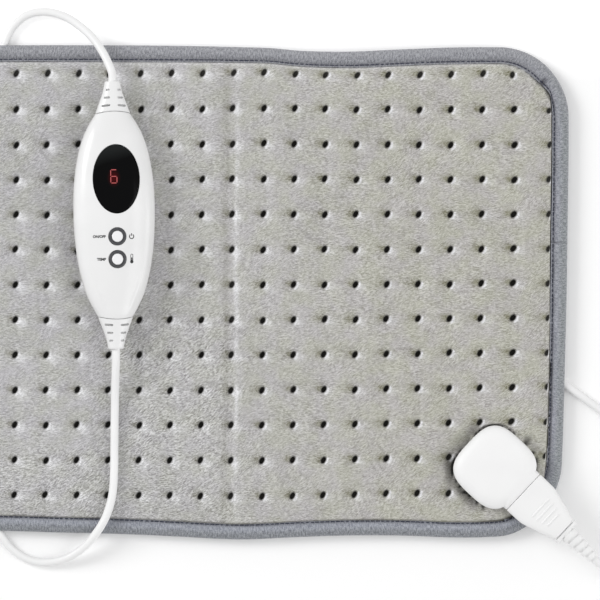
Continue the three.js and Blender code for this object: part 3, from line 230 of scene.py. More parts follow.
class Nodes:
    """Short ways to add procedural nodes to a material or the world."""

    def __init__(self, tree):
        self.tree = tree

    def node(self, kind, settings=None, **inputs):
        made = self.tree.nodes.new("ShaderNode" + kind)
        for name, value in (settings or {}).items():
            setattr(made, name, value)
        for name, value in inputs.items():
            self.set(made.inputs[name.replace("_", " ")], value)
        return made

    def set(self, socket, value):
        if isinstance(value, bpy.types.NodeSocket):
            self.tree.links.new(value, socket)
        else:
            socket.default_value = value

    def place(self):
        return self.node("TexCoord").outputs["Object"]

    def attribute(self, name):
        return self.node("Attribute", {"attribute_name": name}).outputs["Fac"]

    def stretched(self, vector, scale):
        return self.node("Mapping", Vector=vector, Scale=scale).outputs["Vector"]

    def noise(self, vector, scale, detail=2, distortion=0):
        made = self.node("TexNoise", Vector=vector, Scale=scale, Detail=detail, Distortion=distortion)
        return made.outputs["Fac"]

    def strokes(self, place, angle):
        """Short brushed strokes of pile in one direction."""
        turned_place = self.node("Mapping", Vector=place, Rotation=(0, 0, -angle)).outputs["Vector"]
        strokes = self.noise(self.stretched(turned_place, (520, 2200, 1100)), 1, 2, 0.6)
        fibres = self.noise(self.stretched(turned_place, (1300, 4000, 2500)), 1, 2)
        return self.math("ADD", self.math("MULTIPLY", strokes, 0.65), self.math("MULTIPLY", fibres, 0.35))

    def math(self, operation, a, b):
        made = self.node("Math", {"operation": operation})
        self.set(made.inputs[0], a)
        self.set(made.inputs[1], b)
        return made.outputs["Value"]

    def ranged(self, value, low, high, to_low=0, to_high=1):
        made = self.node("MapRange", Value=value, From_Min=low, From_Max=high, To_Min=to_low, To_Max=to_high)
        return made.outputs["Result"]

    def mix(self, share, a, b):
        made = self.node("Mix", {"data_type": "RGBA"})
        self.set(made.inputs["Factor"], share)
        for socket, color in ((made.inputs[6], a), (made.inputs[7], b)):
            self.set(socket, color if isinstance(color, bpy.types.NodeSocket) else (*linear(color), 1))
        return made.outputs[2]

    def shown(self, unseen, seen):
        """A strength that is higher for rays that show the surroundings, from the camera, gloss or glass."""
        path = self.node("LightPath").outputs
        share = self.math("MAXIMUM", path["Is Glossy Ray"], path["Is Transmission Ray"])
        return self.ranged(self.math("MAXIMUM", path["Is Camera Ray"], share), 0, 1, unseen, seen)


class Finish(Nodes):
    """A Principled material, with short ways to drive its sockets."""

    def __init__(self, name, color, roughness, **more):
        self.material = bpy.data.materials.new(name)
        self.material.use_nodes = True
        super().__init__(self.material.node_tree)
        self.shader = self.tree.nodes["Principled BSDF"]
        self.shader.inputs["Base Color"].default_value = (*linear(color), 1)
        self.shader.inputs["Roughness"].default_value = roughness
        for socket, value in more.items():
            title = socket.replace("_", " ").title().replace("Ior", "IOR")
            self.shader.inputs[title].default_value = value

    def color(self, value):
        self.set(self.shader.inputs["Base Color"], value)

    def roughness(self, value):
        self.set(self.shader.inputs["Roughness"], value)

    def emission(self, value):
        self.set(self.shader.inputs["Emission Color"], value)

    def bump(self, height, depth_mm, strength=1):
        made = self.node("Bump", Strength=strength, Distance=depth_mm * MM, Height=height)
        self.set(self.shader.inputs["Normal"], made.outputs["Normal"])


def plush_finish():
    """Short brushed pile, greyer at the left and warmer at the right, with painted shade and painted
    highlights on the pile round the welded dots, and painted shade in the holes and along the seams.
    """
    f = Finish("plush", (177, 176, 171), 0.95, sheen_weight=0.1, sheen_roughness=0.5)
    place = f.place()
    x, y, _ = f.node("SeparateXYZ", Vector=place).outputs
    patch = f.ranged(f.noise(place, 70, 3), 0.38, 0.62)
    cool = f.mix(patch, (182, 182, 176), (186, 184, 188))
    sunny = f.mix(patch, (181, 180, 164), (182, 178, 175))
    base = f.mix(f.ranged(x, 0.03, 0.2), cool, sunny)
    # painted shade: olive on the pile's shaded side of each dot, on the crease's shaded wall and beside the
    # socket
    base = f.mix(f.attribute("painted_shade"), base, f.mix(f.ranged(x, 0.03, 0.25), (128, 125, 109), (127, 124, 91)))
    # painted highlight: near white on the pile's lit side of each dot, on the crease's lit wall and along
    # the top edge
    base = f.mix(f.attribute("painted_highlight"), base, (243, 243, 246))
    level, slant = (f.strokes(place, angle) for angle in (0.08, 0.55))
    pile = f.node("Mix", Factor=f.ranged(f.noise(place, 30, 2), 0.42, 0.58), A=level, B=slant).outputs[0]
    ruffled = f.math("MULTIPLY", f.ranged(x, 0.105, 0.085), f.ranged(x, 0, 0.03))
    ruffled = f.math("MAXIMUM", ruffled, f.ranged(y, -0.08, -0.11))
    ruffled = f.math("MULTIPLY", ruffled, f.ranged(y, 0, -0.04))
    ruffled = f.math("MULTIPLY", ruffled, f.ranged(x, 0.12, 0.085))
    dark = f.mix(f.ranged(ruffled, 0, 1, 0.38, 0.55), base, (62, 60, 52))
    light = f.mix(f.ranged(ruffled, 0, 1, 0.28, 0.42), base, (255, 255, 255))
    piled = f.mix(f.ranged(pile, 0.41, 0.59), dark, light)
    # holes darker, partly melted pile and partly painted shade; painted shade along the seams and round the
    # socket
    f.color(f.mix(f.attribute("dot"), piled, (22, 21, 17)))
    f.bump(pile, 0.6, f.ranged(f.noise(place, 45, 2), 0.4, 0.6, 0.45, 1))
    return f.material


def underside_finish():
    """Plain knitted backing."""
    f = Finish("backing", (168, 167, 163), 0.95, sheen_weight=0.15)
    place = f.place()
    knit = f.noise(f.stretched(place, (900, 450, 600)), 1, 2)
    tone = f.ranged(f.noise(place, 30, 3), 0.35, 0.65)
    f.color(f.mix(tone, (160, 159, 156), (176, 175, 170)))
    f.bump(knit, 0.3, 0.6)
    return f.material


def tape_finish():
    """Woven tape, ribbed across its length, whose tone varies a little at random, with painted light and
    shade across it: its outer half darker on the right and lower edges and lighter along the top edge, and
    painted shade in a pucker's crease beside the dark joint line.
    """
    f = Finish("woven_tape", (146, 149, 158), 0.85, sheen_weight=0.15, sheen_roughness=0.5)
    along, across = f.attribute("along"), f.attribute("across")
    uv = f.node("CombineXYZ", X=along, Y=across).outputs["Vector"]
    ribs = f.noise(f.stretched(uv, (1.2, 0.4, 1)), 1, 2)
    threads = f.noise(f.stretched(uv, (3.1, 1.8, 1)), 1, 1)
    tone = f.noise(f.stretched(uv, (0.05, 0.12, 1)), 1, 2)
    weave = f.math("ADD", f.math("MULTIPLY", ribs, 0.5), f.math("MULTIPLY", threads, 0.5))
    # Painted light and shade across the tape: its outer half darker on the right and lower edges, lighter
    # along the top edge
    inner = f.mix(f.ranged(tone, 0.35, 0.65), (139, 142, 150), (145, 146, 157))
    outer = f.mix(f.ranged(tone, 0.35, 0.65), (125, 131, 131), (131, 135, 136))
    inward = f.attribute("inward")
    y = f.node("SeparateXYZ", Vector=f.place()).outputs["Y"]
    painted_side_light = f.mix(inward, outer, inner)
    painted_side_light = f.mix(f.ranged(y, 0.1, 0.145), painted_side_light, f.mix(inward, (145, 145, 149), (126, 126, 131)))
    painted_side_light = f.mix(f.ranged(y, -0.1, -0.145), painted_side_light, f.mix(inward, (116, 120, 124), (148, 152, 163)))
    shadow, shine = f.mix(0.5, painted_side_light, (60, 62, 72)), f.mix(0.3, painted_side_light, (235, 238, 245))
    woven = f.mix(f.ranged(weave, 0.38, 0.62), shadow, shine)
    # painted shade in the pucker's crease, and the dark line at the tape's joint
    f.color(f.mix(f.attribute("crease"), woven, (48, 48, 60)))
    f.bump(weave, 0.4, 0.7)
    return f.material


def plastic_finish(name, color, roughness, grain=0.02, **more):
    """Moulded plastic: slightly uneven gloss and a faint grain."""
    f = Finish(name, color, roughness, **more)
    place = f.place()
    blotch = f.noise(place, 70, 3)
    f.roughness(f.ranged(blotch, 0.3, 0.7, roughness * 0.85, roughness * 1.15))
    lighter = [min(255, c + 4) for c in color]
    darker = [max(0, c - 4) for c in color]
    f.color(f.mix(f.ranged(f.noise(place, 25, 2), 0.3, 0.7), darker, lighter))
    f.bump(f.noise(place, 1800, 2), grain)
    return f.material


def lens_finish():
    """Smoked glossy window, paler in its upper left beyond a slanted edge."""
    f = Finish("lens_black", (7, 7, 8), 0.12, specular_ior_level=0.05)
    place = f.place()
    x, y, _ = f.node("SeparateXYZ", Vector=place).outputs
    slope = f.math("SUBTRACT", y, f.math("MULTIPLY", x, 0.3))
    paler_upper_left = f.math("ADD", slope, f.math("MULTIPLY", f.noise(place, 60, 1), 0.006))
    f.color(f.mix(f.ranged(paler_upper_left, 0.077, 0.084), (6, 6, 7), (31, 33, 33)))
    f.bump(f.noise(place, 1800, 2), 0.003)
    return f.material


def metal_finish(name, color, roughness):
    """Plated or drawn metal with fine scratches."""
    f = Finish(name, color, roughness, metallic=1)
    place = f.place()
    lines = f.noise(f.stretched(place, (4000, 4000, 300)), 1, 2)
    f.roughness(f.ranged(lines, 0.3, 0.7, roughness * 0.7, roughness * 1.4))
    f.color(f.mix(f.ranged(f.noise(place, 120, 2), 0.3, 0.7), [0.94 * c for c in color], color))
    f.bump(lines, 0.01)
    return f.material


def digit_finish():
    """Lit display segments, brightest along their middles."""
    f = Finish("lit_segment", (120, 10, 10), 0.4, emission_strength=0.75)
    f.emission(f.mix(f.attribute("core"), (122, 30, 34), (206, 126, 126)))
    return f.material


def glow_finish():
    """Red light spread inside the display."""
    f = Finish("display_glow", (7, 7, 8), 0.12, specular_ior_level=0.05, emission_strength=1)
    f.emission(f.mix(f.attribute("core"), (0, 0, 0), (74, 0, 4)))
    f.bump(f.noise(f.place(), 1800, 2), 0.003)
    return f.material


PLUSH = plush_finish()
BACKING = underside_finish()
TAPE = tape_finish()
THREAD = plastic_finish("thread", (62, 64, 80), 0.8, 0.05)
SHELL_WHITE = plastic_finish("shell_white", (235, 235, 235), 0.22)
SOCKET_WHITE = plastic_finish("socket_white", (240, 240, 240), 0.45, 0.03)
BUTTON_WHITE = plastic_finish("button_white", (241, 241, 242), 0.35)
RING_GREY = plastic_finish("ring_grey", (58, 59, 62), 0.4)
LENS_BLACK = lens_finish()
CORD_WHITE = plastic_finish("cord_white", (239, 239, 239), 0.42, 0.03)
INK = plastic_finish("ink", (20, 20, 22), 0.6)
DIGIT = digit_finish()
GLOW = glow_finish()
SLOT_FINISH = {
    "plush": PLUSH,
    "lining": BACKING,
    "binding_tape": TAPE,
    "white_plastic": SOCKET_WHITE,
    "grey_plastic": RING_GREY,
    "display_black": LENS_BLACK,
    "black_plastic": plastic_finish("plain_black", (28, 28, 30), 0.5),
    "cord": CORD_WHITE,
    "board": plastic_finish("board_green", (38, 104, 64), 0.5),
    "component_amber": plastic_finish("amber", (181, 101, 29), 0.4),
    "contact_brass": metal_finish("brass", (201, 162, 74), 0.3),
    "nickel": metal_finish("nickel", (197, 200, 203), 0.25),
}


# Meshes
def make(name, points, faces, material, at=AT_PAD, sharp=40):
    mesh = bpy.data.meshes.new(name)
    mesh.from_pydata((moved(points, at) * MM).tolist(), [], faces)
    edit = bmesh.new()
    edit.from_mesh(mesh)
    bmesh.ops.recalc_face_normals(edit, faces=edit.faces)
    edit.to_mesh(mesh)
    edit.free()
    piece = bpy.data.objects.new(name, mesh)
    bpy.context.scene.collection.objects.link(piece)
    mesh.materials.append(material)
    smooth(mesh, sharp)
    return piece


def smooth(mesh, sharp):
    mesh.polygons.foreach_set("use_smooth", [True] * len(mesh.polygons))
    mesh.set_sharp_from_angle(angle=math.radians(sharp))


def stand_for(piece, slot, *replaced, body=BASE):
    """The piece rides on a body, and is seen in place of these nodes."""
    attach(piece, body)
    if replaced:
        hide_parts(*replaced)
    return piece


def add(name, shape, material, slot, *replaced, at=AT_PAD, body=BASE):
    """A piece from (points, faces) that stands for these nodes."""
    return stand_for(make(name, *shape, material, at), slot, *replaced, body=body)


def attribute(piece, name, values):
    made = piece.data.attributes.new(name, "FLOAT", "POINT")
    made.data.foreach_set("value", np.asarray(values, np.float32))


def loft(rings, round_ring=True, capped=True):
    """Points and faces of a skin through rings that have the same number of points."""
    count = len(rings[0])
    sides = count if round_ring else count - 1
    faces = []
    for k in range(len(rings) - 1):
        for i in range(sides):
            j = (i + 1) % count
            faces.append((k * count + i, k * count + j, (k + 1) * count + j, (k + 1) * count + i))
    last = (len(rings) - 1) * count
    if capped:
        faces.append(tuple(reversed(range(count))))
        faces.append(tuple(range(last, last + count)))
    return np.vstack(rings), faces


def net_points(xs, ys):
    """The crossings of a net's lines, row after row."""
    return np.stack(np.meshgrid(xs, ys), axis=2).reshape(-1, 2)


def grid(rows, columns):
    """Faces of a net of points, row after row."""
    at = np.arange(rows * columns).reshape(rows, columns)
    corners = (at[:-1, :-1], at[:-1, 1:], at[1:, 1:], at[1:, :-1])
    return np.stack([c.ravel() for c in corners], axis=1).tolist()


def together(*parts):
    """Several (points, faces) as one."""
    points, faces, count = [], [], 0
    for part_points, part_faces in parts:
        points.append(np.asarray(part_points, float))
        faces += [tuple(count + i for i in face) for face in part_faces]
        count += len(part_points)
    return np.vstack(points), faces


def box(x0, x1, y0, y1, z0, z1):
    points = [(x, y, z) for z in (z0, z1) for x, y in ((x0, y0), (x1, y0), (x1, y1), (x0, y1))]
    faces = [(3, 2, 1, 0), (4, 5, 6, 7), (0, 1, 5, 4), (1, 2, 6, 5), (2, 3, 7, 6), (3, 0, 4, 7)]
    return np.array(points, float), faces


def superellipse(angle, half_width, above, below, power):
    bend = lambda v: np.sign(v) * np.abs(v) ** (2 / power)
    height = np.where(np.sin(angle) > 0, above, below)
    return half_width * bend(np.cos(angle)), height * bend(np.sin(angle))


def section(y, half_width, above, below, power, sides=64):
    """A rounded section in the XZ plane, whose power sets how square it is."""
    angle = round_angles(sides)
    x, z = superellipse(angle, half_width, above, below, power)
    return np.stack([x, np.full(sides, float(y)), z], axis=1)


def half_section(y, half_width, height, power, side, sides=40):
    """The upper (1) or lower (-1) half of a section, down to a flat split."""
    angle = np.linspace(0, math.pi, sides)
    x, z = superellipse(angle, half_width, height, height, power)
    return np.stack([x, np.full(sides, float(y)), side * np.maximum(z, FIT / 2)], axis=1)


def turned(profile, segments=48):
    """A body turned about Z from [radius, z] points, none of them on the axis."""
    angle = round_angles(segments)
    ring = np.stack([np.cos(angle), np.sin(angle), np.zeros(segments)], axis=1)
    return loft([ring * radius + (0, 0, z) for radius, z in profile])


def rounded_rect(x0, x1, y0, y1, radius, steps=5):
    left, right, low, high = x0 + radius, x1 - radius, y0 + radius, y1 - radius
    points = []
    for quarter, (cx, cy) in enumerate(((right, high), (left, high), (left, low), (right, low))):
        for i in range(steps + 1):
            a = (quarter + i / steps) * math.pi / 2
            points.append((cx + radius * math.cos(a), cy + radius * math.sin(a)))
    return np.array(points)


def upright(outline, z):
    return np.column_stack([outline, np.full(len(outline), float(z))])


def prism(outline, z0, z1):
    return loft([upright(outline, z0), upright(outline, z1)])


def cut(piece, cutters, operation="DIFFERENCE", sharp=40):
    """Cuts a piece with (points, faces, place) cutters, which then go."""
    helpers = [make("cutter", points, faces, piece.data.materials[0], at) for points, faces, at in cutters]
    for helper in helpers:
        modifier = piece.modifiers.new("cut", "BOOLEAN")
        modifier.operation = operation
        modifier.object = helper
        modifier.solver = "EXACT"
    graph = bpy.context.evaluated_depsgraph_get()
    piece.data = bpy.data.meshes.new_from_object(piece.evaluated_get(graph))
    piece.modifiers.clear()
    for helper in helpers:
        bpy.data.objects.remove(helper)
    smooth(piece.data, sharp)
    return piece


def smooth_line(points, step):
    """A centripetal Catmull-Rom curve through the points, in steps of about that length."""
    p = np.asarray(points, float)
    p = np.vstack([2 * p[0] - p[1], p, 2 * p[-1] - p[-2]])
    line = []
    for i in range(len(p) - 3):
        four = p[i : i + 4]
        t = np.concatenate([[0], np.cumsum(np.linalg.norm(np.diff(four, axis=0), axis=1) ** 0.5)])
        for s in np.linspace(t[1], t[2], 24, endpoint=False):
            q = list(four)
            for level in (1, 2, 3):
                for k in range(4 - level):
                    a, b = (t[k], t[k + level]) if level < 3 else (t[1], t[2])
                    q[k] = ((b - s) * q[k] + (s - a) * q[k + 1]) / (b - a)
            line.append(q[0])
    line.append(p[-2])
    return respaced(np.array(line), step)


def distances(line):
    """How far along a line each of its points is."""
    return np.concatenate([[0], np.cumsum(np.linalg.norm(np.diff(line, axis=0), axis=1))])


def respaced(line, step):
    along = distances(line)
    at = np.linspace(0, along[-1], math.ceil(along[-1] / step) + 1)
    return np.stack([np.interp(at, along, line[:, k]) for k in range(3)], axis=1)


def tube(line, radius, sides=16):
    """A round skin along a line, which doesn't twist."""
    line = np.asarray(line, float)
    along = np.gradient(line, axis=0)
    along /= np.linalg.norm(along, axis=1)[:, None]
    side = np.cross(along[0], (0, 0, 1))
    rings = []
    angle = round_angles(sides)
    for point, direction in zip(line, along):
        side = side - (side @ direction) * direction
        side /= np.linalg.norm(side)
        up = np.cross(side, direction)
        rings.append(point + radius * (np.outer(np.cos(angle), side) + np.outer(np.sin(angle), up)))
    return loft(rings)


# Camera, lights and floor
VIEW_CENTRE = (134.8, -5.4)
VIEW_WIDTH = 369.6  # across the picture, at the height of the pad's top
CAMERA_HEIGHT = 12000
SKY_LIGHT = 0.6


def add_camera():
    data = bpy.data.cameras.new("camera")
    data.lens = data.sensor_width * (CAMERA_HEIGHT - PAD_TOP) / VIEW_WIDTH
    data.clip_end = 100
    camera = bpy.data.objects.new("camera", data)
    camera.location = Vector((*VIEW_CENTRE, CAMERA_HEIGHT)) * MM
    bpy.context.scene.collection.objects.link(camera)
    bpy.context.scene.camera = camera


def add_light(name, place, aim, size, energy):
    data = bpy.data.lights.new(name, "AREA")
    data.size = size
    data.energy = energy
    light = bpy.data.objects.new(name, data)
    light.location = place
    light.rotation_euler = (Vector(aim) - Vector(place)).to_track_quat("-Z", "Y").to_euler()
    bpy.context.scene.collection.objects.link(light)


def add_stage():
    scene = bpy.context.scene
    scene.view_settings.view_transform = "Standard"
    world = bpy.data.worlds.new("studio")
    world.use_nodes = True
    sky = Nodes(world.node_tree)
    background = sky.tree.nodes["Background"].inputs
    background["Color"].default_value = (1, 1, 1, 1)
    sky.set(background["Strength"], sky.shown(SKY_LIGHT, 1))
    scene.world = world
    add_light("key", (-2.75, 1.35, 2.15), (0.1, 0, 0), 1.6, 68)
    add_light("fill", (2.6, -0.9, 2.6), (0.1, 0, 0), 2, 28)
    add_light("side", (3.2, -0.4, 1), (0.1, 0, 0), 1.2, 13)
    f = Finish("floor", (252, 252, 252), 0.9, specular_ior_level=0, emission_color=(1, 1, 1, 1))
    place = f.place()
    f.color(f.mix(f.ranged(f.noise(place, 3, 2), 0.3, 0.7), (251, 251, 251), (253, 253, 253)))
    y = f.node("SeparateXYZ", Vector=place).outputs["Y"]
    # Painted light: the floor, as the camera sees it, glows more beyond the pad's upper edge, which hides
    # the shadow there
    lit = f.ranged(y, 0.13, 0.16, 0.02, 0.25)  # no shadow is seen beyond the upper edge
    f.set(f.shader.inputs["Emission Strength"], f.math("MULTIPLY", f.shown(0, 1), lit))
    far, z = 6000, -0.05
    points = [(-far, -far, z), (far, -far, z), (far, far, z), (-far, far, z)]
    make("floor", points, [(0, 1, 2, 3)], f.material)


# Cords: the routes of the part's source, [x, y, z]
def from_edge(side, points):
    return [(x, y + side * PAD_WIDTH / 2, z) for x, y, z in points]


def from_corner(points):
    return [(x + PAD_LENGTH / 2, y, z) for x, y, z in from_edge(-1, points)]


def on_plug_line(along):
    return moved([(along, 0, 0)], AT_PLUG)[0]


def boot_mouth(side, reach):
    return moved([(0, side * (BODY_LENGTH / 2 + BOOT_LENGTH + reach), 0)], AT_CONTROLLER)[0]


PLUG_LOOP_ROUTE = from_corner([
    (41, -28.5, 14.5), (65.5, -23.6, 7.5), (81.5, -4, 3.4), (83, 21, FLOOR), (69, 41.6, FLOOR),
    (45, 58.5, FLOOR), (20, 76.7, FLOOR), (0.7, 90.8, FLOOR),
])
UNDER_PAD_ROUTE = [
    *from_corner([(-25, 109, FLOOR), (-65, 132, FLOOR)]),
    (160, 21, FLOOR), (80, 54, FLOOR), (10, 80, FLOOR), (-30, 99, FLOOR),
    *from_edge(1, [(-49, -28, FLOOR), (-49.5, -7, FLOOR), (-46.1, 5.7, FLOOR)]),
]
TOP_LOOP_ROUTE = from_edge(1, [
    (-41.5, 13.6, 3), (-33.5, 20.2, 3.8), (-22.5, 22.3, 5.2), (-10, 19.2, 7.6), (0.5, 12.2, 11.2),
    (8.6, 4.2, 15.6), (13.9, -3.8, 19.9), (17.2, -10.5, 23.4),
])
BOTTOM_LOOP_ROUTE = [
    (21.3, -50, 22.6), (20.9, -62, 18.6), (20.7, -76, CORD_ON_PAD), (20.5, -94, CORD_ON_PAD),
    *from_edge(-1, [
        (20.3, 38.4, CORD_ON_PAD), (19.1, 24, 16), (15.4, 11.5, 14.6), (9.4, 1.2, 12.4), (1, -8.2, 8.6),
        (-9, -14.4, 5), (-20.1, -17, 3), (-31.8, -15.6, FLOOR), (-42.8, -8.8, FLOOR),
    ]),
]
SIDE_LOOP_ROUTE = from_edge(-1, [
    (-50.6, 1.3, FLOOR), (-61.5, 16.6, FLOOR), (-75.5, 26.4, FLOOR), (-94, 29.6, FLOOR),
    (-112.5, 26.2, FLOOR), (-128, 16.2, FLOOR), (-139, 1.4, FLOOR),
])
COIL_LEAD_ROUTE = [
    *from_edge(-1, [
        (-147, -11, FLOOR), (-158, -19.4, 3), (-171.5, -22.5, 4.4), (-185, -19, 7.2),
        (-195.6, -9.6, 10.6), (-201.6, 4, 14.2), (-204.2, 22, 16.8), (-204.6, 50, 17.4),
    ]),
    (-204.6, -60, COIL_Z),
]


def coil_route():
    """In along the lower layer, up where it reverses, and out along the upper one."""
    turn = np.linspace(0, 2 * COIL_TURNS, int(2 * COIL_TURNS * 48) + 1)
    middle = turn - COIL_TURNS
    radius = COIL_INNER_RADIUS + COIL_PITCH * np.abs(middle)
    angle = math.pi - 2 * math.pi * turn
    x = COIL_CENTRE[0] + radius * np.cos(angle)
    y = COIL_CENTRE[1] + radius * np.sin(angle)
    return np.stack([x, y, COIL_Z + COIL_PITCH * smoothstep(-0.25, 0.25, middle)], axis=1)


def pad_cord_line():
    ends = [on_plug_line(RELIEF_END - 2), on_plug_line(RELIEF_END + CORD_DIAMETER)]
    mouth = [boot_mouth(1, CORD_DIAMETER), boot_mouth(1, -2)]
    return smooth_line([*ends, *PLUG_LOOP_ROUTE, *UNDER_PAD_ROUTE, *TOP_LOOP_ROUTE, *mouth], 2)


def mains_cord_line():
    start = [boot_mouth(-1, -2), boot_mouth(-1, CORD_DIAMETER)]
    lead = [*start, *BOTTOM_LOOP_ROUTE, *SIDE_LOOP_ROUTE, *COIL_LEAD_ROUTE]
    coil = coil_route()
    above = COIL_Z + COIL_PITCH
    tail = [
        (COIL_START_X, COIL_CENTRE[1] + 2 * CORD_DIAMETER, above),
        (COIL_START_X, MAINS_PLUG_Y - MAINS_RELIEF_LENGTH - CORD_DIAMETER, MAINS_PLUG_Z),
        (COIL_START_X, MAINS_PLUG_Y - MAINS_RELIEF_LENGTH + 2, MAINS_PLUG_Z),
    ]
    lead_line = smooth_line([*lead, (COIL_START_X, COIL_CENTRE[1] - 2 * CORD_DIAMETER, COIL_Z), coil[0]], 2)
    tail_line = smooth_line([coil[-1], *tail], 2)
    return np.vstack([lead_line[:-1], coil, tail_line[1:]])


PAD_LINE = pad_cord_line()
MAINS_LINE = mains_cord_line()


def add_cords():
    pad_cord = make("pad_cord", *tube(PAD_LINE, CORD_DIAMETER / 2), CORD_WHITE)
    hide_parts("pad_lead_loop", "pad_lead")
    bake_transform(pad_cord)
    mains_tube = tube(MAINS_LINE, CORD_DIAMETER / 2)
    mains_cord = add("mains_cord", mains_tube, CORD_WHITE, "cord", "mains_lead", "mains_coil", "mains_tail")
    return pad_cord, mains_cord


# Pad: a flat plan whose edges and dots drift a little, as soft cloth does
TOP_EDGE_DRIFT = (
    (-300, 0), (-180, 0.8), (-19, 1.7), (61, 1.3), (98, 0.5), (117, -0.1), (135, -1.7), (163, -2.3),
    (197, -0.9), (234, 0.4), (300, 0),
)
BOTTOM_EDGE_DRIFT = (
    (-300, 0.5), (-180, 1.5), (-60, 2.4), (-37, 2), (-12, 1.2), (19, 0.5), (45, -0.5), (61, -1.3), (98, -3),
    (135, -1.5), (163, -0.6), (197, -0.6), (234, -1.9), (300, -1),
)
RIGHT_EDGE_DRIFT = ((-150, -4.3), (-98, -3.2), (-49, -2), (-5, -0.9), (43, -0.2), (93, 0.4), (150, 0))


def wavy(x, values):
    """A smooth curve through given values."""
    line = smooth_line([(a, b, 0) for a, b in values], 2)
    return np.interp(x, line[:, 0], line[:, 1])


def edge_pull(share, start, full):
    """How much of an edge's drift the cloth follows: a little near the edge, all of it from the seam out."""
    slight = np.clip(share, 0, 1) ** 9
    return slight + (1 - slight) * smoothstep(start, full, share)


def drifted(points):
    """Where the cloth at a point of the flat plan lies."""
    x, y = points[:, 0], points[:, 1]
    share = y / (PAD_WIDTH / 2)
    dx = (-1.4 + 0.8 * share - 1.1 * hill(x, 165, 65)) * smoothstep(300, 250, np.abs(x))
    dx = (dx - 0.45 * hill(x, 97, 13)) * smoothstep(1, 0.85, np.abs(share))
    inside = smoothstep(0.88, 0.8, np.abs(share))
    last_column = 2 + 0.3 * smoothstep(-60, 40, y)
    dx += last_column * smoothstep(262, 285, x) * smoothstep(290.6, 286, x) * inside
    dx += 0.6 * smoothstep(30, -50, y) * smoothstep(255, 285, x) * smoothstep(299, 291, x) * inside
    dx += wavy(y, RIGHT_EDGE_DRIFT) * edge_pull(x / (PAD_LENGTH / 2), 0.95, 0.966)
    top = wavy(x, TOP_EDGE_DRIFT) * edge_pull(share, 0.9, 0.93)
    bottom = wavy(x, BOTTOM_EDGE_DRIFT) * edge_pull(-share, 0.9, 0.93)
    crease = 1.1 * np.clip(share, 0, 0.9) * hill(x, 115, 46) * smoothstep(1, 0.9, share)
    corner = 1.8 * np.clip(-share, 0, 0.85) * smoothstep(140, 270, x)
    corner += smoothstep(90, -20, y) * (0.6 * smoothstep(120, 200, x) + 0.5 * smoothstep(230, 280, x))
    corner *= smoothstep(0.93, 0.84, -share) * smoothstep(297, 290, x)
    tucked = 1.7 * np.exp(-((x - 290) ** 2 + (y + 140) ** 2) / 30**2)
    dx -= tucked
    corner += tucked - 0.35 * smoothstep(0.93, 0.85, np.abs(share))
    moved_points = points.copy()
    moved_points[:, 0] += dx
    moved_points[:, 1] += top + bottom + crease + corner
    return moved_points


def rounded_plan(points):
    """Bends the corners of a rectangular plan to the pad's outline, inside the binding."""
    bent = points.copy()
    reach = PAD_CORNER - HIDDEN_EDGE
    middle = np.array([PAD_LENGTH / 2 - PAD_CORNER, PAD_WIDTH / 2 - PAD_CORNER])
    a, b = np.clip((np.abs(points) - middle) / reach, 0, 1).T
    corner = (a > 0) & (b > 0)
    round_x = middle[0] + reach * a * np.sqrt(1 - b**2 / 2)
    round_y = middle[1] + reach * b * np.sqrt(1 - a**2 / 2)
    bent[corner, 0] = (np.sign(points[:, 0]) * round_x)[corner]
    bent[corner, 1] = (np.sign(points[:, 1]) * round_y)[corner]
    return bent


def depth_in_pad(points):
    """How far inside the pad's outline a point of the plan is."""
    over = np.abs(points) - (PAD_LENGTH / 2 - PAD_CORNER, PAD_WIDTH / 2 - PAD_CORNER)
    outside = np.hypot(*np.clip(over, 0, None).T)
    return PAD_CORNER - np.where((over > 0).all(axis=1), outside, over.max(axis=1))


def from_socket(points):
    """How far outside the socket's outline a point is."""
    local = (np.column_stack([points, np.zeros(len(points))]) - AT_SOCKET[:3, 3]) @ AT_SOCKET[:3, :3]
    middle = ((SOCKET_BACK + SOCKET_FRONT) / 2, -SOCKET_OFFSET)
    half = ((SOCKET_FRONT - SOCKET_BACK) / 2, SOCKET_WIDTH / 2)
    over = np.abs(local[:, :2] - middle) - np.array(half) + SOCKET_CORNER
    return np.hypot(*np.clip(over, 0, None).T) + np.minimum(over.max(axis=1), 0) - SOCKET_CORNER


DOT_RINGS = (0, 0.6, 1.2, 1.7, 2.2, 2.8, 3.7, 5.2, 7.4)  # where the net's lines lie on both sides of a dot
EDGE_LINES = (4, 7, 9.1, 9.6, 10.2, 10.7, 11.3, 12.2, 14, 17, 21)


def net_lines(centres, half):
    near = [c + side * d for c in centres for d in DOT_RINGS for side in (-1, 1)]
    edge = [side * (half - inset) for inset in EDGE_LINES for side in (-1, 1)]
    kept = []
    for at in sorted(x for x in near + edge if abs(x) <= half - HIDDEN_EDGE):
        if not kept or at - kept[-1] > 0.45:
            kept.append(at)
    return np.array(kept)


COLUMNS = LAST_COLUMN_X - np.arange(DOT_COLUMNS)[::-1] * DOT_PITCH[0]
ROWS = TOP_ROW_Y - np.arange(DOT_ROWS)[::-1] * DOT_PITCH[1]


def has_dot(places):
    return depth_in_pad(rounded_plan(places)) > DOT_EDGE


def between(places, steps):
    """The places, with that many equal steps from each to the next."""
    share = np.arange((len(places) - 1) * steps + 1) / steps
    return np.interp(share, np.arange(len(places)), places)


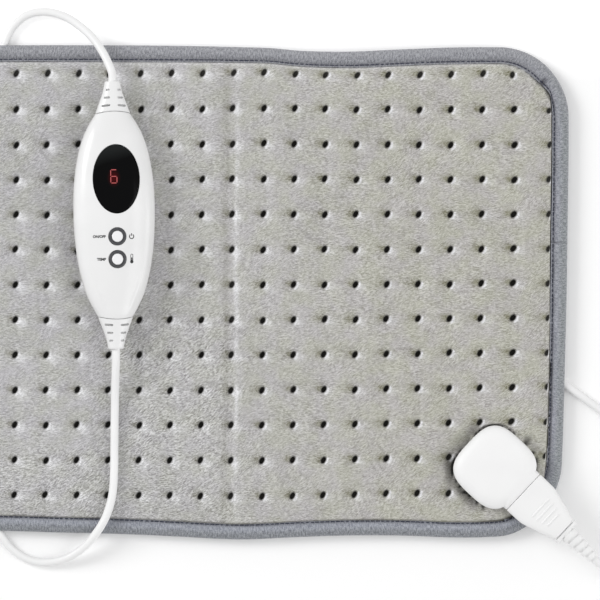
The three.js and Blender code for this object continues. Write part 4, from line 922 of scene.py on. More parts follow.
def simulated_puff():
    """Cloth held at its dots, edge and socket, and blown up between them: net lines and heights."""
    steps, frames, inset = 4, 24, 6
    edge_x, edge_y = PAD_LENGTH / 2 - inset, PAD_WIDTH / 2 - inset
    xs, ys = between([-edge_x, *COLUMNS, edge_x], steps), between([-edge_y, *ROWS, edge_y], steps)
    flat = net_points(xs, ys)
    row, column = np.divmod(np.arange(len(flat)), len(xs))
    held = (row % steps == 0) & (column % steps == 0) & has_dot(flat)
    held |= (row == 0) | (row == len(ys) - 1) | (column == 0) | (column == len(xs) - 1)
    held |= from_socket(flat) < 1
    piece = make("puff", np.column_stack([flat, np.zeros(len(flat))]), grid(len(ys), len(xs)), PLUSH)
    group = piece.vertex_groups.new(name="held")
    group.add(np.flatnonzero(held).tolist(), 1, "REPLACE")
    cloth = piece.modifiers.new("cloth", "CLOTH")
    cloth.settings.quality = 6
    cloth.settings.mass = 0.1
    cloth.settings.bending_stiffness = 0.3
    cloth.settings.vertex_group_mass = "held"
    cloth.settings.shrink_min = -0.015
    cloth.settings.use_pressure = True
    cloth.settings.uniform_pressure_force = 4
    cloth.settings.effector_weights.gravity = 0
    cloth.point_cache.frame_end = frames
    scene = bpy.context.scene
    for number in range(1, frames + 1):
        scene.frame_set(number)
    mesh = bpy.data.meshes.new_from_object(piece.evaluated_get(bpy.context.evaluated_depsgraph_get()))
    z = np.array([v.co.z for v in mesh.vertices]) / MM
    bpy.data.objects.remove(piece)
    scene.frame_set(1)
    return xs, ys, np.clip(z, -PUFF, PUFF).reshape(len(ys), len(xs))


def on_net(xs, ys, heights, points):
    """A net's heights at other points, smoothed by a cubic spline."""
    column = np.interp(points[:, 0], xs, np.arange(len(xs)))
    row = np.interp(points[:, 1], ys, np.arange(len(ys)))
    total = np.zeros(len(points))
    for i in range(-1, 3):
        for j in range(-1, 3):
            r, c = np.floor(row) + i, np.floor(column) + j
            pick = heights[np.clip(r, 0, len(ys) - 1).astype(int), np.clip(c, 0, len(xs) - 1).astype(int)]
            total += pick * spline_weight(row - r) * spline_weight(column - c)
    return total


def spline_weight(t):
    t = np.abs(t)
    near = 2 / 3 - t**2 + t**3 / 2
    far = np.clip(2 - t, 0, None) ** 3 / 6
    return np.where(t < 1, near, far)


class PlushNet:
    """The plush as a flat net, whose lines gather round each dot and become circles there."""

    def __init__(self):
        xs, ys = net_lines(COLUMNS, PAD_LENGTH / 2), net_lines(ROWS, PAD_WIDTH / 2)
        self.faces = grid(len(ys), len(xs))
        self.flat = net_points(xs, ys)
        column = np.abs(self.flat[:, :1] - COLUMNS).argmin(axis=1)
        row = np.abs(self.flat[:, 1:] - ROWS).argmin(axis=1)
        dots = np.column_stack([COLUMNS[column], ROWS[row]])
        off = self.flat - dots
        ring = np.abs(off).max(axis=1)
        a, b = (off / np.maximum(ring, 1e-6)[:, None]).T
        rounded = np.column_stack([off[:, 0] * np.sqrt(1 - b**2 / 2), off[:, 1] * np.sqrt(1 - a**2 / 2)])
        share = smoothstep(6, 2.2, ring)[:, None]
        self.around = rounded * share + off * (1 - share)  # each point's place beside its dot
        self.reach = np.hypot(*self.around.T)
        right, up = self.around.T
        half_width, half_height = HOLE_SIZE
        self.hole = np.hypot((right - HOLE_LEAN * up) / half_width, up / half_height)  # 1 at its edge
        chance = np.random.default_rng(11)
        stray = chance.normal(0, 0.16, (DOT_ROWS, DOT_COLUMNS, 2))[row, column]
        strength = chance.uniform(0.88, 1.08, (DOT_ROWS, DOT_COLUMNS))[row, column]
        self.dotted = has_dot(dots)
        self.strength = self.dotted * strength
        self.plan = rounded_plan(dots + self.around + stray * smoothstep(7, 2, ring)[:, None])
        self.cloth = drifted(self.plan)
        self.from_socket = from_socket(self.cloth)
        self.fold = CREASE_X + 1.2 * cloud(np.column_stack([self.plan[:, 1], self.plan[:, 1]]), 40, 2.2)
        self.find_edge()

    def find_edge(self):
        """Where the plush comes out of the binding: fuller along the lower side and the lower right."""
        x, y = self.plan.T
        self.depth = depth_in_pad(self.plan)
        self.fuller = np.maximum(smoothstep(-120, -138, y), smoothstep(-5, -60, y) * (x > 200))
        self.right = smoothstep(240, 270, x)
        self.upper = smoothstep(115, 138, y)
        self.edge = COVER_EDGE - 1.1 * self.fuller
        self.edge += 0.5 * self.right * smoothstep(-20, 30, y) * (1 - self.upper)


def plush_heights(net):
    """Puffed cloth with soft lumps, a fold crease, rolled edges, a dip at the socket, and dots."""
    plan, far = net.plan, net.from_socket
    z = PAD_TOP - PUFF + on_net(*simulated_puff(), net.flat)
    z += 0.3 * cloud(plan, 38, 1.5) + 0.1 * cloud(plan, 14, 7.5) + 0.06 * cloud(plan, 5, 3.1)
    z -= 1.5 * hill(plan[:, 0], net.fold, 3) - 0.6 * hill(plan[:, 0], net.fold + 7, 4)
    roll = 1 - (1 - np.clip((net.depth - COVER_EDGE) / EDGE_ROLL, 0, 1)) ** 2.4
    z = COVER_EDGE_Z + (z - COVER_EDGE_Z) * roll
    z -= 1.6 * hill(np.maximum(far, 0), 0, 4.5) + 0.5 * cloud(plan, 6, 9) * hill(far, 2, 6)
    dish = DISH_DEPTH * np.exp(-((net.reach / DISH_RADIUS) ** 2))
    z -= net.strength * (dish + (DOT_DEPTH - DISH_DEPTH) * smoothstep(1.35, 0.75, net.hole))
    z = np.maximum(z, CARRIER_TOP + 0.15)
    z = np.where(far < 0.4, SOCKET_BASE_Z - 0.1, z)
    return np.where(net.depth < net.edge, COVER_TUCKED_Z, z)


def spot(around, place, size):
    """A soft spot of that size, at a place beside each dot."""
    return np.exp(-((np.hypot(around[:, 0] - place[0], around[:, 1] - place[1]) / size) ** 2))


def shade_plush(piece, net):
    """Holes darkened partly by their melted pile and partly by painted shade, painted shade along the seams
    and round the socket, and painted shade and painted highlights on the pile beside the dots and at the
    crease.
    """
    x, far, around = net.plan[:, 0], net.from_socket, net.around
    streak = np.clip(0.6 + cloud(net.plan, 9, 6.3), 0, 1)
    warm = smoothstep(60, 150, x)
    # Holes darker, partly melted pile and partly painted shade; painted shade along the seam, weaker along
    # the top edge and stronger on the right; painted shade at the socket's foot and beside it
    holes = net.dotted * smoothstep(1.3, 0.85, net.hole)
    shade = 0.9 + 0.6 * net.fuller + 0.6 * net.right + 0.4 * cloud(net.plan, 7, 4.2)
    seam = smoothstep(net.edge + shade, net.edge + 0.2, net.depth)
    seam *= (1 - 0.85 * net.upper) * (0.6 + 0.4 * net.right)
    socket_shade = hill(far, 0, 0.9) + 0.7 * streak * hill(far, 2, 3.2) * smoothstep(252, 240, x)
    attribute(piece, "dot", np.maximum(holes, np.maximum(seam, socket_shade)))

    # Painted shade on the side of each dot away from the lamps, on the crease's shaded wall and beside the
    # socket
    painted_shade = 0.85 * spot(around, (-2.1, 0.5), 1.7) + 0.5 * spot(around, (-4, 0.9), 2.5 + 0.6 * warm)
    painted_shade *= net.strength * (0.9 + 0.3 * warm)
    painted_shade += 0.35 * streak * hill(x, net.fold - 2.5, 2.2)
    painted_shade += 0.5 * streak * hill(far, 1.5, 3.5) * smoothstep(250, 228, x)
    attribute(piece, "painted_shade", painted_shade)

    # Painted highlight on the side of each dot that faces the lamps, on the crease's lit wall and on the
    # plush's edge along the top
    lit_side = smoothstep(0.3, 0.9, (around @ (0.92, -0.39)) / np.maximum(net.reach, 0.1))
    painted_highlight = 1.3 * lit_side * hill(net.hole, 1.55, 0.42)
    painted_highlight += (0.8 - 0.42 * warm) * spot(around, (4.2 - 0.2 * warm, -2.3 + 0.4 * warm), 2.9 - 0.6 * warm)
    painted_highlight *= net.strength
    painted_highlight += 0.7 * streak**1.5 * hill(x, net.fold + 4.5, 1.3)
    painted_highlight += 0.35 * net.upper * smoothstep(net.edge + 2.2, net.edge + 0.4, net.depth)
    attribute(piece, "painted_highlight", painted_highlight)


def top_cover():
    net = PlushNet()
    points = np.column_stack([net.cloth, plush_heights(net)])
    piece = make("plush_top", points, net.faces, PLUSH, sharp=180)
    shade_plush(piece, net)
    stand_for(piece, "plush", "top_cover")


def bottom_cover():
    step = 3
    halves = PAD_LENGTH / 2, PAD_WIDTH / 2
    xs, ys = (np.linspace(-1, 1, 2 * int(half / step) + 1) * (half - HIDDEN_EDGE) for half in halves)
    plan = rounded_plan(net_points(xs, ys))
    depth = depth_in_pad(plan)
    cloth = drifted(plan)
    low = np.vstack([line[line[:, 2] < 2 * FLOOR][:, :2] for line in (PAD_LINE, MAINS_LINE)])
    nearest = np.array([np.hypot(*(low - p).T).min() for p in cloth])
    z = 0.25 + 0.2 * cloud(plan, 20, 4.4) * smoothstep(10, 16, depth)
    over_cord, in_binding = 5.6, 4.4
    z = np.maximum(z, over_cord * smoothstep(8, 2.6, nearest))
    z = np.where(depth < 12, np.maximum(z, in_binding * smoothstep(11, 5, depth)), z)
    piece = make("backing", np.column_stack([cloth, z]), grid(len(ys), len(xs)), BACKING, sharp=180)
    stand_for(piece, "plush", "bottom_cover")


# Edge binding: a tape folded round both covers, stitched along its inner edge
def outline_walk(step):
    """Points along the pad's outline from the tape's joint, with the way out and the distance walked."""
    middle = np.array([PAD_LENGTH / 2 - PAD_CORNER, PAD_WIDTH / 2 - PAD_CORNER])
    corners = [(1, 1), (-1, 1), (-1, -1), (1, -1)]
    points, ways = [], []

    def straight(start, end, way):
        count = max(2, int(np.linalg.norm(np.subtract(end, start)) / step))
        for share in np.arange(count) / count:
            points.append(np.add(start, np.subtract(end, start) * share))
            ways.append(way)

    def arc(quarter):
        centre = middle * corners[quarter]
        count = int(PAD_CORNER * math.pi / 2 / step)
        for share in np.arange(count) / count:
            angle = (quarter + share) * math.pi / 2
            way = np.array([math.cos(angle), math.sin(angle)])
            points.append(centre + PAD_CORNER * way)
            ways.append(way)

    (a, b), x, y = middle, PAD_LENGTH / 2, PAD_WIDTH / 2
    right, top, left, bottom = (1, 0), (0, 1), (-1, 0), (0, -1)
    joint = (x, JOINT_Y)
    sides = (
        (joint, (x, b), right), ((a, y), (-a, y), top),
        ((-x, b), (-x, -b), left), ((-a, -y), (a, -y), bottom),
    )
    for quarter, side in enumerate(sides):
        straight(*side)
        arc(quarter)
    straight((x, -b), joint, right)
    points.append(np.array(joint))
    ways.append(right)
    points, ways = np.array(points, float), np.array(ways, float)
    return points, ways, distances(points)


# [inside the outline, z], round the outside from below, over the seam to its lip, and back inside
TAPE_PROFILE = [
    (9.3, 1.0), (8.6, 0.4), (6.5, 0.3), (3.6, 0.4), (1.5, 1.2), (0.3, 2.9), (0, 4.75),
    (0.3, 6.2), (1.3, 7.7), (2.8, 8.75), (4.4, 9.25), (6, 9.1), (7.4, 8.4), (8.3, 7.5),
    (8.8, 7.15), (9.2, 7.6), (9.6, 8.5), (10, 8.7), (10.4, 8.2), (10.2, 7.6), (8.8, 6.5),
    (5, 6.6), (2.4, 6), (2.1, 4.75), (2.4, 3.1), (5, 2.1), (8.6, 1.9), (9.25, 1.6),
]


def edge_binding():
    profile = smooth_line([(a, b, 0) for a, b in [*TAPE_PROFILE, TAPE_PROFILE[0]]], 0.5)[:-1, :2]
    across = distances(profile)
    points, ways, walked = outline_walk(1.8)
    curved = np.abs(ways).min(axis=1) > 0.02
    wobble = 0.25 * cloud(np.column_stack([walked, walked * 0]), 26, 5.7)
    pucker = cloud(np.column_stack([walked, walked * 0]), 4.2, 8.8) * np.where(curved, 0.4, 0.12)
    pucker += 0.5 * hill(walked, PUCKER_AT + 3, 1.6) - 1.4 * hill(walked, PUCKER_AT, 1.3)
    rings = []
    for k, (point, way) in enumerate(zip(points, ways)):
        inward = profile[:, 0] / BINDING_FACE
        inset = profile[:, 0] + wobble[k] * inward
        flat = drifted(point - np.outer(inset, way))
        z = profile[:, 1] + pucker[k] * inward**2 * smoothstep(5, 8, profile[:, 1])
        rings.append(np.column_stack([flat, z]))
    piece = make("edge_tape", *loft(rings), TAPE, sharp=60)
    attribute(piece, "along", np.repeat(walked, len(profile)))
    attribute(piece, "across", np.tile(across, len(points)))
    attribute(piece, "inward", np.tile(smoothstep(2.5, 7, profile[:, 0]), len(points)))
    inner = smoothstep(3.5, 6.5, profile[:, 0])
    # painted shade in the pucker's crease, and the dark line at the tape's joint
    crease_shade_and_joint = np.outer(0.8 * hill(walked, PUCKER_AT, 1.5), inner)
    crease_shade_and_joint += np.outer(hill(walked, 0, 0.6), 0.3 + 0.4 * inner)
    attribute(piece, "crease", crease_shade_and_joint.ravel())
    stand_for(piece, "binding_tape", "edge_binding")
    edge_stitches()


def edge_stitches():
    points, ways, walked = outline_walk(0.8)
    stitches = []
    for start in np.arange(1, walked[-1] - 3, STITCH_PITCH):
        pick = (walked >= start) & (walked <= start + STITCH_LENGTH)
        line = points[pick] - SEAM_INSET * ways[pick]
        if len(line) < 3:
            continue
        arch = np.sin(np.linspace(0, math.pi, len(line))) * 0.3
        stitches.append(tube(np.column_stack([drifted(line), SEAM_Z + arch]), THREAD_RADIUS, 6))
    add("edge_stitches", together(*stitches), THREAD, "binding_tape")


# Socket and plug
def plug_size(x):
    """Half width and half height of the plug at a distance along it."""
    share = (x - PLUG_STRAIGHT) / (PLUG_END - PLUG_STRAIGHT)
    share = (share + math.sqrt(share**2 + 0.012)) / 2  # a soft start of the taper
    tapered = lambda near, far: (near + share * (far - near)) / 2
    return tapered(PLUG_WIDTH, PLUG_TAIL_WIDTH), tapered(PLUG_HEIGHT, PLUG_TAIL_HEIGHT)


def socket_body():
    """The rounded block and its neck, as one piece."""
    def outline(inset):
        angle = round_angles(96)
        long, wide = (SOCKET_FRONT - SOCKET_BACK) / 2 - inset, SOCKET_WIDTH / 2 - inset
        x, y = superellipse(angle, long, wide, wide, SOCKET_POWER)
        return np.column_stack([x + (SOCKET_FRONT + SOCKET_BACK) / 2, y - SOCKET_OFFSET])

    rings = [upright(outline(0), SOCKET_BASE_Z)]
    wide, high = SOCKET_EDGE
    for angle in np.linspace(0, math.pi / 2, 12):
        z = SOCKET_TOP - high * (1 - math.sin(angle))
        rings.append(upright(outline(wide * (1 - math.cos(angle))), z))
    rings += [upright(outline(inset), SOCKET_TOP + 0.02 * (inset - wide)) for inset in (10, 14, 19)]
    piece = make("socket", *loft(rings), SOCKET_WHITE, AT_SOCKET)
    neck = []
    for x, rise, trim in NECK_STATIONS:
        half_width, half_height = plug_size(NECK_END + x)
        above, below = half_height + rise - trim, half_height - trim
        neck.append(section(NECK_END + x, half_width - trim, above, below, PLUG_POWER))
    cut(piece, [(*loft(neck), AT_PLUG_LOFT)], "UNION")
    half, tall = NOSE_WIDTH / 2 + FIT, NOSE_HEIGHT / 2 + FIT
    mouth = box(NOSE_TIP - FIT, NECK_END + 1, -half, half, PLUG_AXIS_Z - tall, PLUG_AXIS_Z + tall)
    return cut(piece, [(*mouth, AT_SOCKET), (*box(*SOCKET_CHAMBER), AT_SOCKET)])


def add_socket():
    far, gap = SOCKET_WIDTH, FIT / 2
    halves = (("socket_base", 0, PLUG_AXIS_Z - gap), ("socket_cover", PLUG_AXIS_Z + gap, far))
    for name, z0, z1 in halves:
        piece = socket_body()
        cut(piece, [(*box(-far, far, -far, far, z0, z1), AT_SOCKET)], "INTERSECT")
        piece.name = name + "_moulding"
        stand_for(piece, "white_plastic", name)


def plug_half(side):
    front = NECK_END + FIT
    soft = 0.4  # rounding at both ends
    sides = np.linspace(front + 2, PLUG_STRAIGHT - 3, 4)
    taper = np.linspace(PLUG_STRAIGHT - 1, PLUG_END - soft, 16)
    rings = []
    for x in (front, front + soft, *sides, *taper, PLUG_END):
        half_width, half_height = plug_size(x)
        trim = soft if x in (front, PLUG_END) else 0
        rings.append(half_section(x, half_width - trim, half_height - trim, PLUG_POWER, side))
    return loft(rings)


def grip(x, reach):
    """A low rounded ridge across the plug's top."""
    foot = plug_size(x)[1] + GRIP_RISE - GRIP_HEIGHT
    angle = np.linspace(0, math.pi, 9)
    rings = []
    for y in np.linspace(-reach, reach, 25):
        fade = math.sqrt(max(0.02, 1 - (abs(y) / reach) ** 6))
        z = foot + GRIP_HEIGHT * fade * np.sin(angle)
        rings.append(np.column_stack([x + GRIP_HALF_WIDTH * np.cos(angle), np.full(9, y), z]))
    return loft(rings)


def ribbed_sleeve(z0, z1, start_radius, end_radius, ribs):
    """A strain relief about Z, with rounded ribs that thin towards one end."""
    pitch = (z1 - z0) / ribs
    groove, soft, steep = 0.9, 0.3, 0.02
    profile = [(start_radius - groove, z0)]
    for i in range(ribs):
        radius = start_radius + (end_radius - start_radius) * i / (ribs - 1)
        low = z0 + (i + 0.35) * pitch
        high = z0 + (i + 1) * pitch
        profile += [(radius - groove, low - steep), (radius - soft, low), (radius, low + soft)]
        profile += [(radius, high - soft), (radius - soft, high)]
        if i < ribs - 1:
            profile.append((radius - groove, high + steep))
    return turned(profile, 40)


def along_y(shape):
    """A shape about Z, laid along Y."""
    points, faces = shape
    return points[:, [0, 2, 1]], faces


def add_plug():
    half, height = COLLAR_WIDTH / 2, PLUG_TAIL_HEIGHT / 2
    collar = loft([
        section(PLUG_END + x, half - trim, height - trim, height - trim, 4) for x, trim in COLLAR_STATIONS
    ])
    ribs = along_y(ribbed_sleeve(PLUG_END + 2.1, RELIEF_END, 5.4, 3.7, 5))
    ridges = together(*(grip(*place) for place in GRIPS))
    shapes = (
        ("plug_upper", plug_half(1), AT_PLUG_LOFT, "pad_plug_upper_shell"),
        ("plug_lower", plug_half(-1), AT_PLUG_LOFT, "pad_plug_lower_shell"),
        ("plug_grips", ridges, AT_PLUG),
        ("plug_relief", together(collar, ribs), AT_PLUG_LOFT, "pad_plug_strain_relief"),
    )
    pieces = [
        add(name, shape, SOCKET_WHITE, "white_plastic", *replaced, at=at, body="pad_plug")
        for name, shape, at, *replaced in shapes
    ]
    inside = ["pad_plug_contact_block", "plug_contact_1", "plug_contact_2", "plug_contact_3"]
    return [*pieces, *(nodes[name] for name in inside)]


# Controller
def easing(share, quartic):
    return (1 - quartic) * share**2 + quartic * share**4


def body_share(y):
    away = y - BODY_WIDEST
    return np.minimum(1, np.abs(away) / (BODY_LENGTH / 2 - np.sign(away) * BODY_WIDEST))


def body_half_width(y):
    return (BODY_WIDTH - (BODY_WIDTH - BODY_END_WIDTH) * easing(body_share(y), 0.39)) / 2


def body_top(y):
    return CROWN - (CROWN - CROWN_END) * easing(body_share(y), 0.75)


def body_bottom(y):
    return BELLY - (BELLY - BELLY_END) * easing(body_share(y), 0.75)


def scoop(x, y):
    """How deep the shallow scoop in the lower half of the face is."""
    edge = body_half_width(y) * (0.74 - 0.17 * np.clip((-y - 30) / 25, 0, 1))
    return 0.6 * smoothstep(1.2, -1.6, np.abs(x) - edge) * smoothstep(-25, -42, y) * smoothstep(-62, -54, y)


def face_height(x, y):
    """Height of the controller's top face above its axis."""
    share = np.clip(np.abs(x) / body_half_width(y), 0, 1)
    return body_top(y) * (1 - share**BODY_POWER) ** (1 / BODY_POWER) - scoop(x, y)


def bulge(x, share):
    """How far the curved joint of body and boot stands out at its middle."""
    across = np.clip(np.abs(x) / (BODY_END_WIDTH / 2), 0, 1)
    return (END_BULGE * (1 - across**2) - END_DRAWN_IN) * share


def shell_half(side):
    height = body_top if side > 0 else body_bottom
    rings = []
    for angle in np.linspace(-0.5, 0.5, 97) * math.pi:
        y = BODY_LENGTH / 2 * math.sin(angle)
        trim = 0.35 if abs(angle) > 0.499 * math.pi else 0
        outer = half_section(y, body_half_width(y) - trim, height(y) - trim, BODY_POWER, side, sides=72)
        if side > 0:
            outer[:, 2] = np.maximum(outer[:, 2] - scoop(outer[:, 0], y), FIT / 2)
        half_inside, inside = body_half_width(y) - SHELL_WALL, height(y) - SHELL_WALL
        inner = half_section(y, half_inside, inside, BODY_POWER, side, sides=36)
        ring = np.vstack([outer, inner[::-1]])
        ring[:, 1] += math.copysign(1, y) * bulge(ring[:, 0], float(smoothstep(46, BODY_LENGTH / 2, abs(y))))
        rings.append(ring)
    return loft(rings)


def oval(width, length, y, sides=96):
    angle = round_angles(sides)
    return np.stack([width / 2 * np.cos(angle), y + length / 2 * np.sin(angle)], axis=1)


def circle(diameter, y, sides=64):
    return oval(diameter, diameter, y, sides)


def on_face(points, lift):
    """Points in the plane, laid on the controller's face."""
    points = np.asarray(points, float)
    return np.column_stack([points[:, :2], face_height(points[:, 0], points[:, 1]) + lift])


def face_plate(width, length, y, lift, thickness, edge):
    """An oval plate that follows the face, with a rounded edge."""
    shares = [0.02, *np.linspace(0.1, 0.9, 9)]
    rings = [on_face(oval(width * s, length * s, y), lift) for s in shares]
    for angle in np.linspace(0, math.pi / 2, 5):
        inset = 2 * edge * (1 - math.sin(angle))
        rings.append(on_face(oval(width - inset, length - inset, y), lift - edge * (1 - math.cos(angle))))
    rings.append(on_face(oval(width, length, y), lift - thickness))
    return loft(rings)


def add_shells():
    top = make("controller_face", *shell_half(1), SHELL_WHITE, AT_CONTROLLER)
    tall, wider = CROWN + 5, 2 * FIT
    recesses = [(oval(LENS_WIDTH + wider, LENS_LENGTH + wider, LENS_Y), body_top(LENS_Y) - 3.4)]
    for y in BUTTON_Y.values():
        recesses.append((circle(RING_DIAMETER + wider, y), body_top(y) - 1.5))
        recesses.append((circle(CAP_DIAMETER + wider, y), 2))
    cut(top, [(*prism(outline, floor, tall), AT_CONTROLLER) for outline, floor in recesses], sharp=32)
    stand_for(top, "white_plastic", "controller_top_shell")
    bottom = make("controller_back", *shell_half(-1), SHELL_WHITE, AT_CONTROLLER)
    screw_x = BODY_WIDTH / 2 - SCREW_FROM_SIDE
    sinks = [circle(SCREW_SINK, y, 32) + (x, 0) for x in (screw_x, -screw_x) for y in (SCREW_Y, -SCREW_Y)]
    cut(bottom, [(*prism(sink, -BELLY - 1, SCREW_SEAT), AT_CONTROLLER) for sink in sinks], sharp=32)
    stand_for(bottom, "white_plastic", "controller_bottom_shell")


def add_lens_and_buttons():
    lens = face_plate(LENS_WIDTH, LENS_LENGTH, LENS_Y, lift=0.25, thickness=1.5, edge=0.35)
    add("display_window", lens, LENS_BLACK, "display_black", "display_lens", at=AT_CONTROLLER)
    for name, y in BUTTON_Y.items():
        add_button(name, y)
    add_digit()


def add_button(name, y):
    inner, outer = CAP_DIAMETER / 2 + FIT, RING_DIAMETER / 2
    rise = ((0, -1.1), (0, 0.0), (0.2, 0.18), (0.5, 0.26))  # in from the bezel's edge, and up from the face
    profile = [(inner + inset, lift) for inset, lift in rise]
    profile += [(outer - inset, lift) for inset, lift in reversed(rise)]
    rings = [on_face(circle(2 * radius, y), lift) for radius, lift in profile]
    bezel = loft([*rings, rings[0]], capped=False)
    add(f"{name}_bezel", bezel, RING_GREY, "grey_plastic", f"{name}_ring", at=AT_CONTROLLER)
    top = body_top(y) + CAP_PROUD
    flange = body_top(y) - SHELL_WALL - 0.6
    half, soft, crown = CAP_DIAMETER / 2, 0.7, 0.1
    stem, rim = 2, half + 1.2
    profile = [(stem, flange - 1.8), (stem, flange - 1), (rim, flange - 1), (rim, flange), (half, flange)]
    for angle in np.linspace(0, math.pi / 2, 6):
        profile.append((half - soft * (1 - math.cos(angle)), top - crown - soft + soft * math.sin(angle)))
    profile += [(radius, top - crown * (radius / half) ** 2) for radius in (2.4, 1.8, 1.2, 0.6, 0.15)]
    at, button = AT_CONTROLLER @ frame_at(0, y, 0), f"{name}_button"
    add(f"{name}_cap", turned(profile), BUTTON_WHITE, "white_plastic", button, at=at, body=button)


# Digit: the lit segments of a figure six
DIGIT_PLACE = (-1.7, LENS_Y + 1.5)
DIGIT_SIZE = (3.8, 8.1)
SEGMENT = 0.52  # its width
SEGMENT_GAP = 0.28  # at each end


def add_digit():
    w, h = DIGIT_SIZE[0] / 2, DIGIT_SIZE[1] / 2
    level = [((-w, y), (w, y)) for y in (h, 0, -h)]
    standing = [((-w, 0), (-w, h)), ((-w, -h), (-w, 0)), ((w, -h), (w, 0))]
    tip = SEGMENT / 2
    parts, core = [], []
    for start, end in level + standing:
        start, end = np.array(start), np.array(end)
        way = (end - start) / np.linalg.norm(end - start)
        side = np.array([-way[1], way[0]])
        start, end = start + SEGMENT_GAP * way, end - SEGMENT_GAP * way
        line = [start, start + tip * way, (start + end) / 2, end - tip * way, end]
        widths = [0.05, tip, tip, tip, 0.05]
        net = [p + DIGIT_PLACE + side * width * s for p, width in zip(line, widths) for s in (-1, 0, 1)]
        parts.append((on_face(net, 0.3), grid(5, 3)))
        core += [0, 1, 0] * 5
    shares, sides = np.linspace(0, 1, 9), 32
    rings = [oval(0.6 + 8.4 * share, 0.8 + 12 * share, DIGIT_PLACE[1] - 0.8, sides) for share in shares]
    patch = loft([on_face(ring + (DIGIT_PLACE[0], 0), 0.27) for ring in rings], capped=False)
    glow = add("display_glow", patch, GLOW, "display_black", at=AT_CONTROLLER)
    attribute(glow, "core", np.repeat((1 - shares) ** 1.5, sides))
    digit = add("display_digit", together(*parts), DIGIT, "display_black", at=AT_CONTROLLER)
    attribute(digit, "core", core)


# Printed words and signs on the face
PRINT_LIFT = 0.03
CAP_HEIGHT = 1.75
SIGN_X = 8.9


def word(text, x, y, width):
    """Flat outline letters, centred, with that overall width."""
    curve = bpy.data.curves.new(text, "FONT")
    curve.body = text
    curve.offset = 0.045
    holder = bpy.data.objects.new("letters", curve)
    bpy.context.scene.collection.objects.link(holder)
    mesh = bpy.data.meshes.new_from_object(holder.evaluated_get(bpy.context.evaluated_depsgraph_get()))
    points = np.array([v.co for v in mesh.vertices])[:, :2]
    faces = [tuple(p.vertices) for p in mesh.polygons]
    bpy.data.objects.remove(holder)
    low, high = points.min(axis=0), points.max(axis=0)
    scaled = (points - (low + high) / 2) / (high - low) * (width, CAP_HEIGHT) + (x, y)
    return on_face(scaled, PRINT_LIFT), faces


def band(line, width):
    """A flat printed stroke along a line on the face."""
    line = np.asarray(line, float)
    way = np.gradient(line, axis=0)
    way /= np.linalg.norm(way, axis=1)[:, None]
    side = np.column_stack([-way[:, 1], way[:, 0]]) * width / 2
    net = np.stack([line - side, line + side], axis=1).reshape(-1, 2)
    return on_face(net, PRINT_LIFT), grid(len(line), 2)


def arc_line(x, y, radius, start, end, steps=24):
    angle = np.radians(np.linspace(start, end, steps))
    return np.column_stack([x + radius * np.cos(angle), y + radius * np.sin(angle)])


def straight_line(x, y0, y1):
    return np.column_stack([np.full(6, x), np.linspace(y0, y1, 6)])


def add_print():
    upper, lower = BUTTON_Y["on_off"], BUTTON_Y["temp"]
    power_sign = [
        band(arc_line(SIGN_X, upper - 0.15, 1.35, 125, 415), 0.55),
        band(straight_line(SIGN_X, upper + 0.3, upper + 1.8), 0.5),
    ]
    glass, half_glass, glass_top, sides = 0.34, 0.65, lower + 2.4, 20
    thermometer = [
        band(straight_line(SIGN_X - half_glass, lower - 1.2, glass_top), glass),
        band(straight_line(SIGN_X + half_glass, lower - 1.2, glass_top), glass),
        band(arc_line(SIGN_X, glass_top, half_glass, 0, 180, 10), glass),
        band(straight_line(SIGN_X, lower - 1.4, lower + 0.9), 0.7),
        (on_face(circle(2.1, lower - 1.7, sides) + (SIGN_X, 0), PRINT_LIFT), [tuple(range(sides))]),
    ]
    words = [word("ON/OFF", -11.1, upper, 7.9), word("TEMP", -9.9, lower, 5.6)]
    add("printed_signs", together(*words, *power_sign, *thermometer), INK, "grey_plastic", at=AT_CONTROLLER)


# Boots at both ends of the controller
BOOT_STATIONS = ((0, 1), (0.2, 0.74), (0.4, 0.49), (0.6, 0.26), (0.8, 0.1), (1, 0))  # along, and how wide
BOOT_SLOTS = ((0.2, 7.5), (0.46, 6), (0.72, 4.7))  # along, and reach to each side
SLOT_START = 2.3  # beside the boot's middle
SLOT_FLOOR = 2.6  # above and below it
SLOT_HALF_WIDTH = 0.65


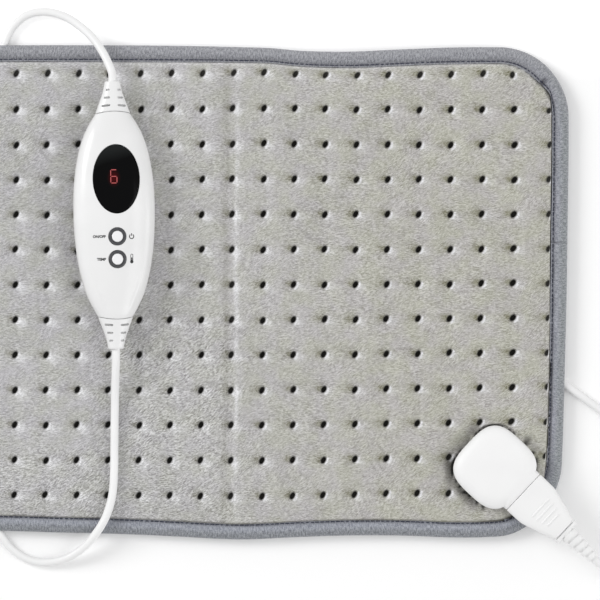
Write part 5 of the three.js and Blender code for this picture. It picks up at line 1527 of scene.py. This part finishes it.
def add_boot(name, side):
    start, length, tip = BODY_LENGTH / 2 + FIT, BOOT_LENGTH - FIT, BOOT_TIP_WIDTH / 2
    shares = smooth_line([(*station, 0) for station in BOOT_STATIONS], 0.04)
    rings = []
    for k, (along, share, _) in enumerate(shares):
        trim = 0.35 if k in (0, len(shares) - 1) else 0
        sizes = [tip + (wide - tip) * share - trim for wide in (BODY_END_WIDTH / 2, CROWN_END, BELLY_END)]
        ring = section(start + along * length, *sizes, BODY_POWER)
        ring[:, 1] += bulge(ring[:, 0], 1 - along)
        rings.append(ring)
    at = AT_CONTROLLER @ frame_at(0, 0, 0, 0 if side > 0 else 180)
    boot = make(name.replace("controller_", ""), *loft(rings), SHELL_WHITE, at)
    cutters = []
    for along, reach in BOOT_SLOTS:
        y0, y1 = start + along * length - SLOT_HALF_WIDTH, start + along * length + SLOT_HALF_WIDTH
        for x0, x1 in ((SLOT_START, reach), (-reach, -SLOT_START)):
            for z0, z1 in ((SLOT_FLOOR, CROWN), (-CROWN, -SLOT_FLOOR)):
                outline = rounded_rect(x0, x1, y0, y1, 0.6)
                outline[:, 1] += bulge(outline[:, 0], 1 - along)
                cutters.append((*prism(outline, z0, z1), at))
    cut(boot, cutters, sharp=35)
    stand_for(boot, "white_plastic", name)


# Mains plug at the coil's end
def add_mains_plug():
    width, length, height = MAINS_BODY
    stations = ((0, 0.4, 0.73), (0.25, 0.54, 0.82), (0.55, 0.87, 0.96), (0.75, 1, 1), (1, 1, 1))
    shares = smooth_line(stations, 0.04)
    rings = []
    for k, (along, wide, high) in enumerate(shares):
        trim = 0.5 if k in (0, len(shares) - 1) else 0
        half = height / 2 * high - trim
        rings.append(section(along * length, width / 2 * wide - trim, half, half, 3.2))
    white, at = (SOCKET_WHITE, "white_plastic"), AT_MAINS_PLUG
    body = add("mains_plug", loft(rings), *white, "mains_plug_body", at=at)
    pieces = [body, nodes["coil_tie"]]
    half = MAINS_PIN_DIAMETER / 2
    end = length + MAINS_PIN_LENGTH
    rounding = [(half, end - 1.6), (half - 0.3, end - 0.8), (half - 0.9, end - 0.2), (0.3, end)]
    shape = along_y(turned([(half, length - MAINS_PIN_ROOT), *rounding], 32))
    for i, x in enumerate((MAINS_PIN_SPACING / 2, -MAINS_PIN_SPACING / 2)):
        name = f"mains_pin_{i + 1}"
        pin = add(f"{name}_plated", shape, SLOT_FINISH["nickel"], "nickel", name, at=at @ frame_at(x, 0, 0))
        pieces.append(pin)
    sleeve = along_y(ribbed_sleeve(-MAINS_RELIEF_LENGTH, -FIT, 3.7, 5.2, 5))
    return [*pieces, add("mains_relief", sleeve, *white, "mains_strain_relief", at=at)]


def dress_nodes():
    """Every node that still shows gets its slot's finish."""
    for part in frame["record"]["subparts"]:
        node = nodes[part["node"]]
        node.data.materials.clear()
        node.data.materials.append(SLOT_FINISH[part["material_slot"]])


add_camera()
pad_cord, mains_cord = add_cords()
add_stage()
dress_nodes()
top_cover()
bottom_cover()
edge_binding()
add_socket()
plug_pieces = add_plug()
add_shells()
add_lens_and_buttons()
add_print()
add_boot("controller_boot_pad_side", 1)
add_boot("controller_boot_mains_side", -1)
mains_pieces = add_mains_plug()
